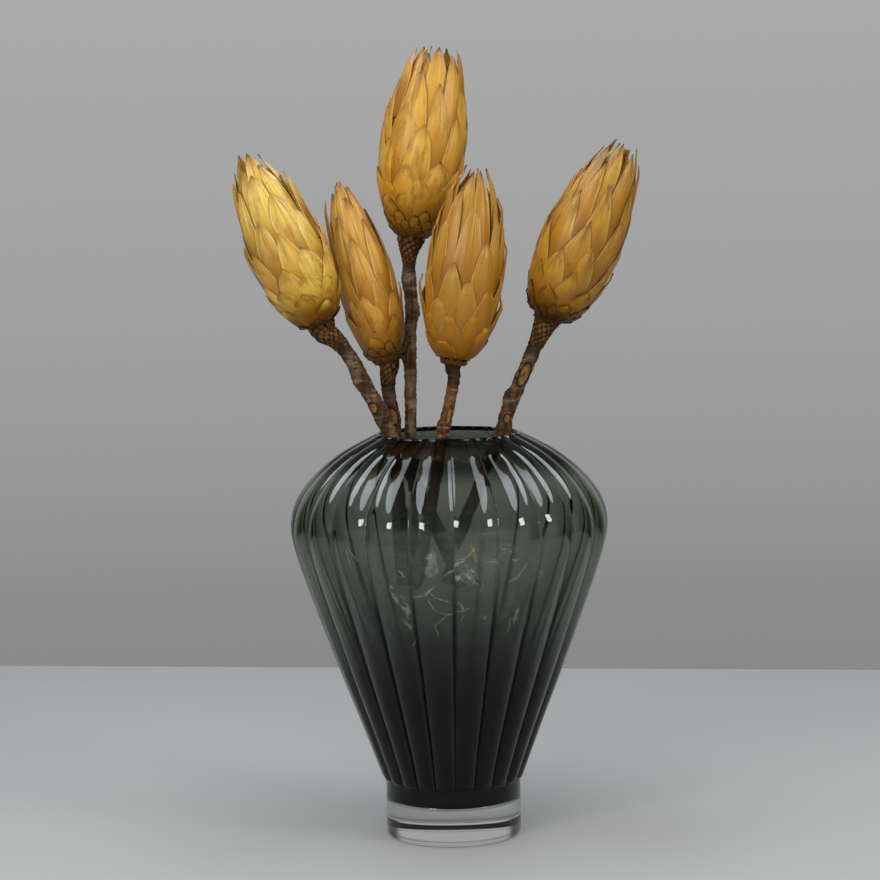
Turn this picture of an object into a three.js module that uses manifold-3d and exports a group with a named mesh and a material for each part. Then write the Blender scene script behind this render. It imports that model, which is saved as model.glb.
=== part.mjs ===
// Five dried protea heads on woody stems, standing in a fluted vase of smoked glass.
// Millimetres, +Z up. The origin is the centre of the vase's foot, on the surface that it stands on,
// and the front of the arrangement faces -Y.
import * as THREE from "three";
import { mergeVertices } from "three/addons/utils/BufferGeometryUtils.js";
import Module from "manifold-3d";

const wasm = await Module();
wasm.setup();

// Vase: driving dimensions
const FLUTES = 22;
const FOOT_RADIUS = 35.3;
const FOOT_HEIGHT = 20.6;
const FOOT_EDGE = 1.6;
const COLLAR_TOP = 29.8;
const MOUTH_RADIUS = 38.6;
const VASE_HEIGHT = 210.6;
const BELLY_RADIUS = 82.5;
const BELLY_HEIGHT = 165.3;
const CAVITY_FLOOR = 35;
const WALL_AT_RIM = 1.9;
const WALL_AT_FLOOR = 5.4;
const FLUTE_DEPTH = 3;
const FLUTE_DEPTH_AT_FOOT = 1.7;
const FLUTE_DEPTH_AT_RIM = 1;
const FLUTE_TURN = 1.5;
const POINTS_PER_FLUTE = 3;
const BODY_RINGS = 14;
const CAVITY_RINGS = 9;
const CAVITY_SIDES = 44;
// Share of the outline's length at which the cavity's side starts, and its rounding at the floor
const CAVITY_START = 0.08;
const CAVITY_ROUNDING = 7;
// How far the cavity runs on above the rim, to cut the mouth open
const CAVITY_OVERRUN = 5;

// Crumpled film: driving dimensions
const FILM_CENTRE = new THREE.Vector3(0, 0, 129);
const FILM_RADII = new THREE.Vector3(62, 62, 34);
const FILM_CRUMPLE = 0.13;
const FILM_SIDES = 14;
const FILM_ROWS = 8;

// Clearance that neighbouring solids keep
const GAP = 0.3;

// Heads and stems: driving dimensions
const GOLDEN_ANGLE = THREE.MathUtils.degToRad(137.508);
const NECK_STRAIGHT = 5;
const NECK_STEP = 2.4;
const NECK_RELIEF = 0.75;
const STEM_SIDES = 8;
const STEM_STEP = 10;
const STEM_TENSION = 0.4;
const KNOT_SWELLING = 0.5;
const KNOT_LENGTH = 0.035;
const KNOT_TURN = 2.4;

// Head outline: half-width at the base, at the middle and at the top, as shares of the widest, and
// the height of the widest place as a share of the head's length
const OUTLINE_BASE = 0.34;
const OUTLINE_TOP = 0.4;
const OUTLINE_WIDEST = 0.42;

// Core of a head: shares of its length, and how far it stays inside the outline
const CORE_SIDES = 12;
const CORE_LEVELS = [0, 0.04, 0.1, 0.2, 0.42, 0.62, 0.76];
const CORE_COVER_AT_BASE = 0.6;
const CORE_COVER = 2.6;
const CORE_COVER_FULL_AT = 0.15;
const CORE_SHOULDER = { radius: 0.3, height: 0.9 };
const CORE_END = 0.95;

// Bracts: thickness, keel and the depth of the root below the outline in mm; the rest are shares of
// the head's length, or of the bract's own width or length
const BLADE = 0.9;
const KEEL = 0.35;
const SINK_AT_BASE = 2.4;
const SINK = 4.4;
const LIFT_DRAW = 0.3;
const TURN_DRAW = 0.05;
const FIRST_TIP = 0.11;
const TIP_DRAW = 0.012;
const LOWEST_ROOT = 0.01;
const SHORTEST_BRACT = 0.15;
const LONGEST_BRACT = 0.42;
const WIDTH_DRAW = 0.07;
const ROOT_WIDTH = 0.85;
const BROADEST_AT = 0.55;
const POINT_WIDTH = 0.12;
const LEAN_FROM = 0.78;
const LEAN = 0.75;

// One entry for each flower. base and tip are the ends of the head's axis, radius is the head's
// widest half-width, width is that of its broadest bracts, and spread is how far their tips stand
// off. path runs down the stem from the head to the cut end; knots are shares of its length.
const FLOWERS = [
  {
    place: "far_left",
    base: [-64.6, -10, 269.6],
    tip: [-99.8, -24, 354.9],
    radius: 21.2,
    bracts: 39,
    width: 12,
    spread: 0,
    turn: 0.4,
    neck: { top: 7.2, length: 17, scaly: true },
    path: [
      [-57, -9.4, 260.7],
      [-51.2, -9, 253.8],
      [-43.3, -7, 239.1],
      [-36.4, -5.5, 225.4],
      [-30.5, -4, 212.2],
      [-1.5, -5, 148.7],
      [6.5, -6, 130.4],
    ],
    stemRadius: 3.9,
    cutRadius: 3.7,
    knots: [0.36, 0.5],
  },
  {
    place: "left",
    base: [-31, 10, 250.2],
    tip: [-55.4, 18, 341.9],
    radius: 15.4,
    bracts: 28,
    width: 10,
    spread: 0,
    turn: 2.1,
    neck: { top: 5.6, length: 14, scaly: true },
    path: [
      [-30.8, 10, 240.3],
      [-30.4, 10, 228.8],
      [-28.2, 10, 218.2],
      [-28, 10, 209.8],
      [-27.1, 5, 147.7],
      [-26.3, 3, 130.6],
    ],
    stemRadius: 3.6,
    cutRadius: 3.4,
    knots: [0.27],
  },
  {
    place: "centre_tall",
    base: [-17.7, 22, 311.7],
    tip: [-2.6, 25, 411.2],
    radius: 22.2,
    bracts: 39,
    width: 12,
    spread: 0,
    turn: 1.2,
    neck: { top: 7.2, length: 13, scaly: true },
    path: [
      [-18.9, 22, 300.7],
      [-18.2, 22, 279.2],
      [-19.2, 22, 251.4],
      [-19.4, 20, 208.8],
      [-19.4, 14, 146.4],
      [-19.2, 12, 127],
    ],
    stemRadius: 3.3,
    cutRadius: 2.7,
    knots: [0.21, 0.33],
  },
  {
    place: "front",
    base: [3.8, -8, 249.7],
    tip: [17, -8, 348.3],
    radius: 20.8,
    bracts: 32,
    width: 9.5,
    spread: 1.4,
    turn: 3.3,
    neck: { top: 5, length: 11, scaly: false },
    path: [
      [3.6, -8.5, 238.9],
      [0.3, -11, 223.7],
      [-2.5, -13, 210],
      [-13.8, -20, 151],
      [-17.1, -22, 134.8],
    ],
    stemRadius: 3,
    cutRadius: 2.9,
    knots: [0.3],
  },
  {
    place: "right",
    base: [52.7, -3, 270.4],
    tip: [93, -9, 358.7],
    radius: 21.2,
    bracts: 39,
    width: 12,
    spread: 0.4,
    turn: 5,
    neck: { top: 6.6, length: 16, scaly: true },
    path: [
      [47.3, -2, 258.5],
      [42.5, -1, 247.6],
      [36.2, 1, 233],
      [30.3, 3, 218.9],
      [27.1, 4, 208.4],
      [2.7, 8, 146.8],
      [-3.3, 9, 130.9],
    ],
    stemRadius: 3.9,
    cutRadius: 3.1,
    knots: [0.3, 0.42],
  },
];

const materials = {
  smokedGlass: new THREE.MeshStandardMaterial({ color: 0x2f3a36, roughness: 0.06, metalness: 0 }),
  clearGlass: new THREE.MeshStandardMaterial({ color: 0xc9d0d2, roughness: 0.04, metalness: 0 }),
  film: new THREE.MeshStandardMaterial({ color: 0xa9bdb6, roughness: 0.12, metalness: 0 }),
  bark: new THREE.MeshStandardMaterial({ color: 0x5b4436, roughness: 0.8, metalness: 0 }),
  bract: new THREE.MeshStandardMaterial({ color: 0xd0a04c, roughness: 0.5, metalness: 0 }),
};

// A repeatable draw between -1 and 1 for item number i and use number k.
function draw(i, k) {
  const wave = Math.sin(i * 12.9898 + k * 78.233) * 43758.5453;
  return 2 * (wave - Math.floor(wave)) - 1;
}

// The closed solid of a geometry.
function solidOf(geometry) {
  const bare = geometry.clone();
  bare.deleteAttribute("normal");
  bare.deleteAttribute("uv");
  const merged = mergeVertices(bare, 1e-4);
  return new wasm.Manifold(
    new wasm.Mesh({
      numProp: 3,
      vertProperties: new Float32Array(merged.attributes.position.array),
      triVerts: new Uint32Array(merged.index.array),
    }),
  );
}

// A fused solid without the sealed bubbles that its pieces enclose.
function filled(solid) {
  return solid.decompose().reduce((a, b) => (b.volume() > a.volume() ? b : a));
}

// The mesh of a closed solid, with its name and material.
function meshOf(name, solid, material) {
  const data = solid.getMesh();
  const geometry = new THREE.BufferGeometry();
  geometry.setAttribute("position", new THREE.BufferAttribute(data.vertProperties, 3));
  geometry.setIndex(new THREE.BufferAttribute(data.triVerts, 1));
  geometry.computeVertexNormals();
  const mesh = new THREE.Mesh(geometry, material);
  mesh.name = name;
  return mesh;
}

// A closed skin over rings of points with equal counts. Each ring runs anticlockwise when it is
// looked at against the direction in which the rings follow each other.
function loft(rings) {
  const count = rings[0].length;
  const index = [];
  for (let k = 0; k + 1 < rings.length; k += 1) {
    for (let j = 0; j < count; j += 1) {
      const a = k * count + j;
      const b = k * count + ((j + 1) % count);
      index.push(a, b, b + count, a, b + count, a + count);
    }
  }
  const last = (rings.length - 1) * count;
  for (let j = 1; j + 1 < count; j += 1) {
    index.push(0, j + 1, j);
    index.push(last, last + j, last + j + 1);
  }
  const geometry = new THREE.BufferGeometry().setFromPoints(rings.flat());
  geometry.setIndex(index);
  return geometry;
}

// The vase's outline at the crests of the flutes, from the collar up to the rim.
const crestLine = new THREE.SplineCurve([
  new THREE.Vector2(37.2, 31.4),
  new THREE.Vector2(45.6, 54),
  new THREE.Vector2(56, 81),
  new THREE.Vector2(66.1, 108.4),
  new THREE.Vector2(75.1, 133.8),
  new THREE.Vector2(80.9, 152.7),
  new THREE.Vector2(BELLY_RADIUS, BELLY_HEIGHT),
  new THREE.Vector2(79, 177.9),
  new THREE.Vector2(69.6, 190.3),
  new THREE.Vector2(55.2, 201.9),
  new THREE.Vector2(MOUTH_RADIUS, VASE_HEIGHT),
]);

// How deep the grooves between the flutes are at a share of the outline's length.
function fluteDepth(share) {
  const middle = Math.sin(Math.PI * Math.pow(share, 0.8));
  const ends = THREE.MathUtils.lerp(FLUTE_DEPTH_AT_FOOT, FLUTE_DEPTH_AT_RIM, share);
  return ends + (FLUTE_DEPTH - ends) * Math.max(0, middle);
}

// One ring of the fluted body: arched crests with a sharp groove between each pair.
function fluteRing(radius, height, depth) {
  const count = FLUTES * POINTS_PER_FLUTE;
  return Array.from({ length: count }, (_, j) => {
    const across = 2 * ((j % POINTS_PER_FLUTE) / POINTS_PER_FLUTE) - 1;
    const reach = radius - depth * across * across;
    const angle = THREE.MathUtils.degToRad(FLUTE_TURN - 90) + (2 * Math.PI * j) / count;
    return new THREE.Vector3(reach * Math.cos(angle), reach * Math.sin(angle), height);
  });
}

// Half-section of the space inside the vase, from the axis at the floor to the axis above the rim.
function cavityProfile(inset, top) {
  const profile = [new THREE.Vector2(0, CAVITY_FLOOR + inset)];
  for (let k = 0; k <= CAVITY_RINGS; k += 1) {
    const share = k / CAVITY_RINGS;
    const crest = crestLine.getPoint(THREE.MathUtils.lerp(CAVITY_START, 1, share));
    const wall = THREE.MathUtils.lerp(WALL_AT_FLOOR, WALL_AT_RIM, Math.pow(share, 0.7));
    const rounding = CAVITY_ROUNDING * Math.max(0, 1 - 0.7 * k);
    const radius = crest.x - fluteDepth(share) - wall - rounding - inset;
    profile.push(new THREE.Vector2(radius, Math.max(crest.y, CAVITY_FLOOR + inset)));
  }
  const mouth = profile[profile.length - 1].x;
  profile.push(new THREE.Vector2(mouth, top), new THREE.Vector2(0, top));
  return profile;
}

// The solid that a half-section sweeps out round the vertical axis.
function turned(profile, sides) {
  const geometry = new THREE.LatheGeometry(profile, sides);
  geometry.rotateX(Math.PI / 2);
  return solidOf(geometry);
}

// The space inside the vase, smaller all round by the inset.
function cavity(inset) {
  return turned(cavityProfile(inset, VASE_HEIGHT + CAVITY_OVERRUN), CAVITY_SIDES);
}

// Blown body: a plain collar, then the fluted wall, hollow down to the thick floor.
function vaseBody() {
  const rings = [
    fluteRing(FOOT_RADIUS, FOOT_HEIGHT, 0),
    fluteRing(FOOT_RADIUS, COLLAR_TOP, 0),
  ];
  for (let k = 0; k <= BODY_RINGS; k += 1) {
    const share = k / BODY_RINGS;
    const crest = crestLine.getPoint(share);
    rings.push(fluteRing(crest.x, crest.y, fluteDepth(share)));
  }
  return solidOf(loft(rings)).subtract(cavity(0));
}

// Clear foot: a thick disc with its lower edge rounded off.
function vaseFoot() {
  const profile = [
    new THREE.Vector2(0, 0),
    new THREE.Vector2(FOOT_RADIUS - FOOT_EDGE, 0),
    new THREE.Vector2(FOOT_RADIUS, FOOT_EDGE),
    new THREE.Vector2(FOOT_RADIUS, FOOT_HEIGHT),
    new THREE.Vector2(0, FOOT_HEIGHT),
  ];
  return turned(profile, CAVITY_SIDES);
}

// A solid of changing round section along a curve, with a ring of points at each of the shares of
// its length. widthAt gives the radius for a ring's number and share, and a point's number.
function limb(curve, shares, sides, widthAt) {
  const fine = 200;
  const frames = curve.computeFrenetFrames(fine, false);
  const rings = shares.map((share, k) => {
    const centre = curve.getPointAt(share);
    const frame = Math.round(share * fine);
    return Array.from({ length: sides }, (_, j) => {
      const angle = (2 * Math.PI * j) / sides;
      const reach = widthAt(k, share, j);
      return centre
        .clone()
        .addScaledVector(frames.normals[frame], reach * Math.cos(angle))
        .addScaledVector(frames.binormals[frame], reach * Math.sin(angle));
    });
  });
  return solidOf(loft(rings));
}

// An open smooth curve through points.
function smooth(points) {
  return new THREE.CatmullRomCurve3(points, false, "catmullrom", STEM_TENSION);
}

// The centre line of a stem, from just under the head down to the cut end.
function stemLine(flower) {
  const base = new THREE.Vector3(...flower.base);
  const axis = new THREE.Vector3(...flower.tip).sub(base).normalize();
  const top = base.clone().addScaledVector(axis, -GAP);
  const underHead = base.clone().addScaledVector(axis, -NECK_STRAIGHT);
  return smooth([top, underHead, ...flower.path.map((p) => new THREE.Vector3(...p))]);
}

// Radius of a stem: flared neck, a slow taper, and a swelling to one side at each knot.
function stemWidth(flower, length, share, angle) {
  const flare = Math.pow(Math.max(0, 1 - (share * length) / flower.neck.length), 1.5);
  const plain = THREE.MathUtils.lerp(flower.stemRadius, flower.cutRadius, share);
  const swelling = flower.knots.map((at, n) => {
    const near = Math.exp(-Math.pow((share - at) / KNOT_LENGTH, 2));
    return KNOT_SWELLING * near * (1 + Math.cos(angle - KNOT_TURN * n));
  });
  return plain + (flower.neck.top - flower.stemRadius) * flare + Math.max(...swelling);
}

// Woody stem. The neck under the head carries a lattice of small raised scales.
function stem(flower) {
  const curve = stemLine(flower);
  const length = curve.getLength();
  const scaleRows = flower.neck.scaly ? Math.round(flower.neck.length / NECK_STEP) : 1;
  const neckEnd = flower.neck.length / length;
  const steps = Math.ceil((length - flower.neck.length) / STEM_STEP);
  const shares = [];
  for (let k = 0; k < scaleRows; k += 1) {
    shares.push((neckEnd * k) / scaleRows);
  }
  for (let k = 0; k <= steps; k += 1) {
    shares.push(THREE.MathUtils.lerp(neckEnd, 1, k / steps));
  }
  return limb(curve, shares, STEM_SIDES, (k, share, j) => {
    const raised = flower.neck.scaly && k > 0 && k <= scaleRows && (j + k) % 2 === 0;
    const angle = (2 * Math.PI * j) / STEM_SIDES;
    return stemWidth(flower, length, share, angle) + (raised ? NECK_RELIEF : 0);
  });
}

// Half-width of a closed head, as a share of its widest, at height t from 0 at its base to 1.
function headOutline(t) {
  if (t < OUTLINE_WIDEST) {
    const rise = Math.sin((Math.PI / 2) * (t / OUTLINE_WIDEST));
    return THREE.MathUtils.lerp(OUTLINE_BASE, 1, Math.pow(rise, 0.42));
  }
  const above = (t - OUTLINE_WIDEST) / (1 - OUTLINE_WIDEST);
  return THREE.MathUtils.lerp(1, OUTLINE_TOP, Math.pow(above, 3));
}

// The measures of bract number i of a head, counted up the spiral from the base.
function bractForm(flower, length, i) {
  const u = i / (flower.bracts - 1);
  const tip = length * (FIRST_TIP + (1 - FIRST_TIP) * Math.pow(u, 0.9) + TIP_DRAW * draw(i, 2));
  const blade = length * THREE.MathUtils.lerp(SHORTEST_BRACT, LONGEST_BRACT, Math.pow(u, 0.8));
  const fullness = 0.74 + 0.34 * Math.sin(Math.PI * Math.min(1, u + 0.14));
  return {
    angle: flower.turn + i * GOLDEN_ANGLE + TURN_DRAW * draw(i, 1),
    root: Math.max(LOWEST_ROOT * length, tip - blade),
    tip,
    width: flower.width * fullness * (1 + WIDTH_DRAW * draw(i, 3)),
    sink: THREE.MathUtils.lerp(SINK_AT_BASE, SINK, Math.min(1, 4 * u)),
    lift: LIFT_DRAW * draw(i, 4) + flower.spread * (0.6 + 0.4 * draw(i, 5)),
    lean: LEAN * Math.max(0, (u - LEAN_FROM) / (1 - LEAN_FROM)),
  };
}

// One bract: a thin pointed blade that follows the head's outline. Its root is sunk in the core and
// its tip stands at the outline, so that it lies outside the bracts that come above it. The last
// few lean in over the top of the core.
function bract(flower, length, i) {
  const form = bractForm(flower, length, i);
  const ring = (s, share) => {
    const height = THREE.MathUtils.lerp(form.root, form.tip, s);
    const outline = flower.radius * headOutline(Math.min(1, height / length));
    const below = form.sink * Math.pow(1 - s, 1.6);
    const reach = (outline - below + form.lift * s * s) * (1 - form.lean * s * s);
    const half = Math.min(1, (0.5 * form.width * share) / Math.max(reach, 3));
    const corner = (side, depth) => {
      const theta = form.angle + side * half;
      const r = Math.max(reach - depth, 0.4);
      return new THREE.Vector3(r * Math.cos(theta), r * Math.sin(theta), height);
    };
    return [
      corner(-1, 0),
      corner(0, -KEEL),
      corner(1, 0),
      corner(1, BLADE),
      corner(0, BLADE),
      corner(-1, BLADE),
    ];
  };
  return solidOf(loft([ring(0, ROOT_WIDTH), ring(BROADEST_AT, 1), ring(1, POINT_WIDTH)]));
}

// The slim core of a head, which its bracts cover.
function core(flower, length) {
  const profile = [new THREE.Vector2(0, 0)];
  for (const t of CORE_LEVELS) {
    const cover = THREE.MathUtils.lerp(
      CORE_COVER_AT_BASE,
      CORE_COVER,
      Math.min(1, t / CORE_COVER_FULL_AT),
    );
    profile.push(new THREE.Vector2(flower.radius * headOutline(t) - cover, t * length));
  }
  profile.push(
    new THREE.Vector2(CORE_SHOULDER.radius * flower.radius, CORE_SHOULDER.height * length),
  );
  profile.push(new THREE.Vector2(0, CORE_END * length));
  return turned(profile, CORE_SIDES);
}

// A head: the core with its spiral of bracts fused to it, built upright from its base.
function bloom(flower, length) {
  let whole = core(flower, length);
  for (let i = 0; i < flower.bracts; i += 1) {
    whole = whole.add(bract(flower, length, i));
  }
  return filled(whole);
}

// Wad of clear film, pressed against the glass all round, with a plain hole for each stem end.
function film() {
  const ball = new THREE.SphereGeometry(1, FILM_SIDES, FILM_ROWS);
  ball.rotateX(Math.PI / 2);
  const position = ball.getAttribute("position");
  const point = new THREE.Vector3();
  for (let n = 0; n < position.count; n += 1) {
    point.fromBufferAttribute(position, n);
    const fold = Math.sin(5 * point.x + 2 * point.z) * Math.sin(4.3 * point.y - 3 * point.z + 1);
    const crease = Math.abs(Math.sin(3.7 * point.x - 4.1 * point.y + 2.2 * point.z)) - 0.5;
    point.multiplyScalar(1 + FILM_CRUMPLE * (fold + crease));
    point.multiply(FILM_RADII).add(FILM_CENTRE);
    position.setXYZ(n, point.x, point.y, point.z);
  }
  let solid = solidOf(ball).intersect(cavity(GAP));
  for (const flower of FLOWERS) {
    const curve = stemLine(flower);
    const length = curve.getLength();
    const below = curve.getPointAt(1).addScaledVector(curve.getTangentAt(1), GAP);
    const hole = smooth([...curve.points, below]);
    const steps = Math.ceil(hole.getLength() / STEM_STEP);
    const shares = Array.from({ length: steps + 1 }, (_, k) => k / steps);
    const width = (k, share) => stemWidth(flower, length, share, 0) + 1.2 * GAP;
    solid = solid.subtract(limb(hole, shares, STEM_SIDES, width));
  }
  return solid;
}

const group = new THREE.Group();
group.name = "protea_heads_in_vase";
group.add(meshOf("vase_foot", vaseFoot(), materials.clearGlass));
group.add(meshOf("vase_body", vaseBody(), materials.smokedGlass));
group.add(meshOf("crumpled_film", film(), materials.film));
for (const flower of FLOWERS) {
  const base = new THREE.Vector3(...flower.base);
  const axis = new THREE.Vector3(...flower.tip).sub(base);
  const head = meshOf("bloom_" + flower.place, bloom(flower, axis.length()), materials.bract);
  head.position.copy(base);
  head.quaternion.setFromUnitVectors(new THREE.Vector3(0, 0, 1), axis.clone().normalize());
  group.add(head);
  group.add(meshOf("stem_" + flower.place, stem(flower), materials.bark));
}

export default group;
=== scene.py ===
"""Dried protea heads on woody stems, standing in a fluted vase of smoked glass.

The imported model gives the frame: metres, +Z up, the vase's foot on the origin and the front towards -Y.
Every piece here keeps the form of the solid that it replaces and adds the finer shape and the finish.
"""

import logging
import math
from collections.abc import Callable, Sequence
from dataclasses import dataclass, field, fields
from enum import Enum

import bpy
import numpy as np
from mathutils import Matrix, Vector, noise


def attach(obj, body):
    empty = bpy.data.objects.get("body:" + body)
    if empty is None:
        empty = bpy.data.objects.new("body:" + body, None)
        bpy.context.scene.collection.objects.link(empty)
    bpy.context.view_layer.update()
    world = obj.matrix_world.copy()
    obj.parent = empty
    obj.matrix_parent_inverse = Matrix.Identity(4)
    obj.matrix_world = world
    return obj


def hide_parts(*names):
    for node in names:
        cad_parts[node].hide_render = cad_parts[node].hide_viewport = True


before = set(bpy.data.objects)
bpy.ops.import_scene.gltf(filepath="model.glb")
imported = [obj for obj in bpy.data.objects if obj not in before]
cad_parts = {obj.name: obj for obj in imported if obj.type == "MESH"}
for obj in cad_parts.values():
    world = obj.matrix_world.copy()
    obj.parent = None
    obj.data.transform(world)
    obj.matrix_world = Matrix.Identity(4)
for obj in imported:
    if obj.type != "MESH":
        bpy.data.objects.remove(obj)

LOG = logging.getLogger("protea")
BODY = "root"
MM = 0.001
GOLDEN_ANGLE = math.radians(137.508)
FRONT = Vector((0.0, -1.0, 0.0))
# Steps that a spline takes between two of its points before they are spread evenly
SPLINE_STEPS = 40
# The draws of one flower start this far after those of the flower before it
DRAWS_PER_FLOWER = 50
# Small scales for each millimetre of a scaly neck
SCALES_PER_MM = 5.6

Colour = tuple[float, float, float]
Material = bpy.types.Material
Socket = bpy.types.NodeSocket
Thing = bpy.types.Object
WHITE = (1.0, 1.0, 1.0)


def draw(item: int, use: int) -> float:
    """Give a repeatable draw between -1 and 1.

    Args:
        item: Number of the thing that the draw is for.
        use: Number of what the draw is used for.

    Returns:
        The draw.
    """
    wave = math.sin(item * 12.9898 + use * 78.233) * 43758.5453
    return 2.0 * (wave - math.floor(wave)) - 1.0


def lerp(start: float, end: float, share: float) -> float:
    """Give the value at a share of the way from start to end."""
    return start + (end - start) * share


def smoothstep(low: float, high: float, value: float) -> float:
    """Give 0 below low, 1 above high and a smooth rise between them."""
    share = min(1.0, max(0.0, (value - low) / (high - low)))
    return share * share * (3.0 - 2.0 * share)


def fill(tree: bpy.types.NodeTree, socket: Socket, item: "Value | Socket | float | str") -> None:
    """Link an input to a value or a socket, or set it to something plain.

    Args:
        tree: The tree that the input is in.
        socket: The input.
        item: What goes into it.
    """
    if isinstance(item, Value):
        tree.links.new(item.socket, socket)
    elif isinstance(item, Socket):
        tree.links.new(item, socket)
    else:
        socket.default_value = item


def maths(operation: str, swapped: bool = False) -> Callable[..., "Value"]:
    """Make a method of Value that adds one maths node.

    Args:
        operation: Name of the node's operation.
        swapped: Whether the value itself goes in last.

    Returns:
        The method, which takes the node's other numbers.
    """

    def method(value: "Value", *others: "Value | float") -> "Value":
        """Add the node and give its result.

        Args:
            value: The value that the method is of.
            others: The node's other numbers.

        Returns:
            The result.
        """
        node = value.tree.nodes.new("ShaderNodeMath")
        node.operation = operation
        for slot, item in zip(node.inputs, (*others, value) if swapped else (value, *others)):
            fill(value.tree, slot, item)
        return Value(value.tree, node.outputs[0])

    return method


@dataclass(frozen=True)
class Value:
    """A number that a node tree works out at each point, with Python's own signs for the sums."""

    tree: bpy.types.NodeTree
    socket: Socket

    __add__ = maths("ADD")
    __radd__ = maths("ADD", swapped=True)
    __sub__ = maths("SUBTRACT")
    __rsub__ = maths("SUBTRACT", swapped=True)
    __mul__ = maths("MULTIPLY")
    __rmul__ = maths("MULTIPLY", swapped=True)
    __truediv__ = maths("DIVIDE")
    __pow__ = maths("POWER")
    least = maths("MINIMUM")
    most = maths("MAXIMUM")
    above = maths("GREATER_THAN")
    size = maths("ABSOLUTE")
    sign = maths("SIGN")
    sine = maths("SINE")
    cosine = maths("COSINE")
    arctan2 = maths("ARCTAN2")
    fraction = maths("FRACT")

    def step(self, low: float, high: float) -> "Value":
        """Rise smoothly from 0 at low to 1 at high; high may be the smaller.

        Args:
            low: Where the rise starts.
            high: Where it ends.

        Returns:
            How far the value has risen.
        """
        node = self.tree.nodes.new("ShaderNodeMapRange")
        node.interpolation_type = "SMOOTHSTEP"
        for name, item in (("Value", self), ("From Min", low), ("From Max", high)):
            fill(self.tree, node.inputs[name], item)
        return Value(self.tree, node.outputs["Result"])


class Wiring:
    """Short ways to add the nodes that geometry trees and materials share."""

    def __init__(self, tree: bpy.types.NodeTree) -> None:
        """Keep the tree that the nodes go into."""
        self.tree = tree

    def put(self, socket: Socket, item: "Value | Socket | float | str") -> None:
        """Link an input of this tree, or set it to something plain."""
        fill(self.tree, socket, item)

    def add(self, kind: str, **inputs: "Value | Socket | float | str") -> bpy.types.Node:
        """Add a node and fill its inputs by name.

        Args:
            kind: Blender's name for the kind of node.
            inputs: What goes into each input. An underscore stands for a space in its name.

        Returns:
            The node.
        """
        node = self.tree.nodes.new(kind)
        for name, item in inputs.items():
            self.put(node.inputs[name.replace("_", " ")], item)
        return node

    def vector(self, x: Value | float, y: Value | float, z: Value | float) -> Socket:
        """Put three numbers together."""
        return self.add("ShaderNodeCombineXYZ", X=x, Y=y, Z=z).outputs[0]

    def parts(self, socket: Socket) -> tuple[Value, ...]:
        """Take a vector apart."""
        node = self.add("ShaderNodeSeparateXYZ", Vector=socket)
        return tuple(Value(self.tree, out) for out in node.outputs)

    def noise(self, where: Socket, scale: float, detail: float = 2.0, rough: float = 0.5) -> Value:
        """Add a noise texture.

        Args:
            where: The coordinates that it reads.
            scale: How many of its lumps fit in one unit.
            detail: Number of finer layers.
            rough: Strength of the finer layers.

        Returns:
            Its value, about 0.5 on the whole.
        """
        node = self.add("ShaderNodeTexNoise", Vector=where, Scale=scale, Detail=detail, Roughness=rough)
        return Value(self.tree, node.outputs[0])


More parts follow.
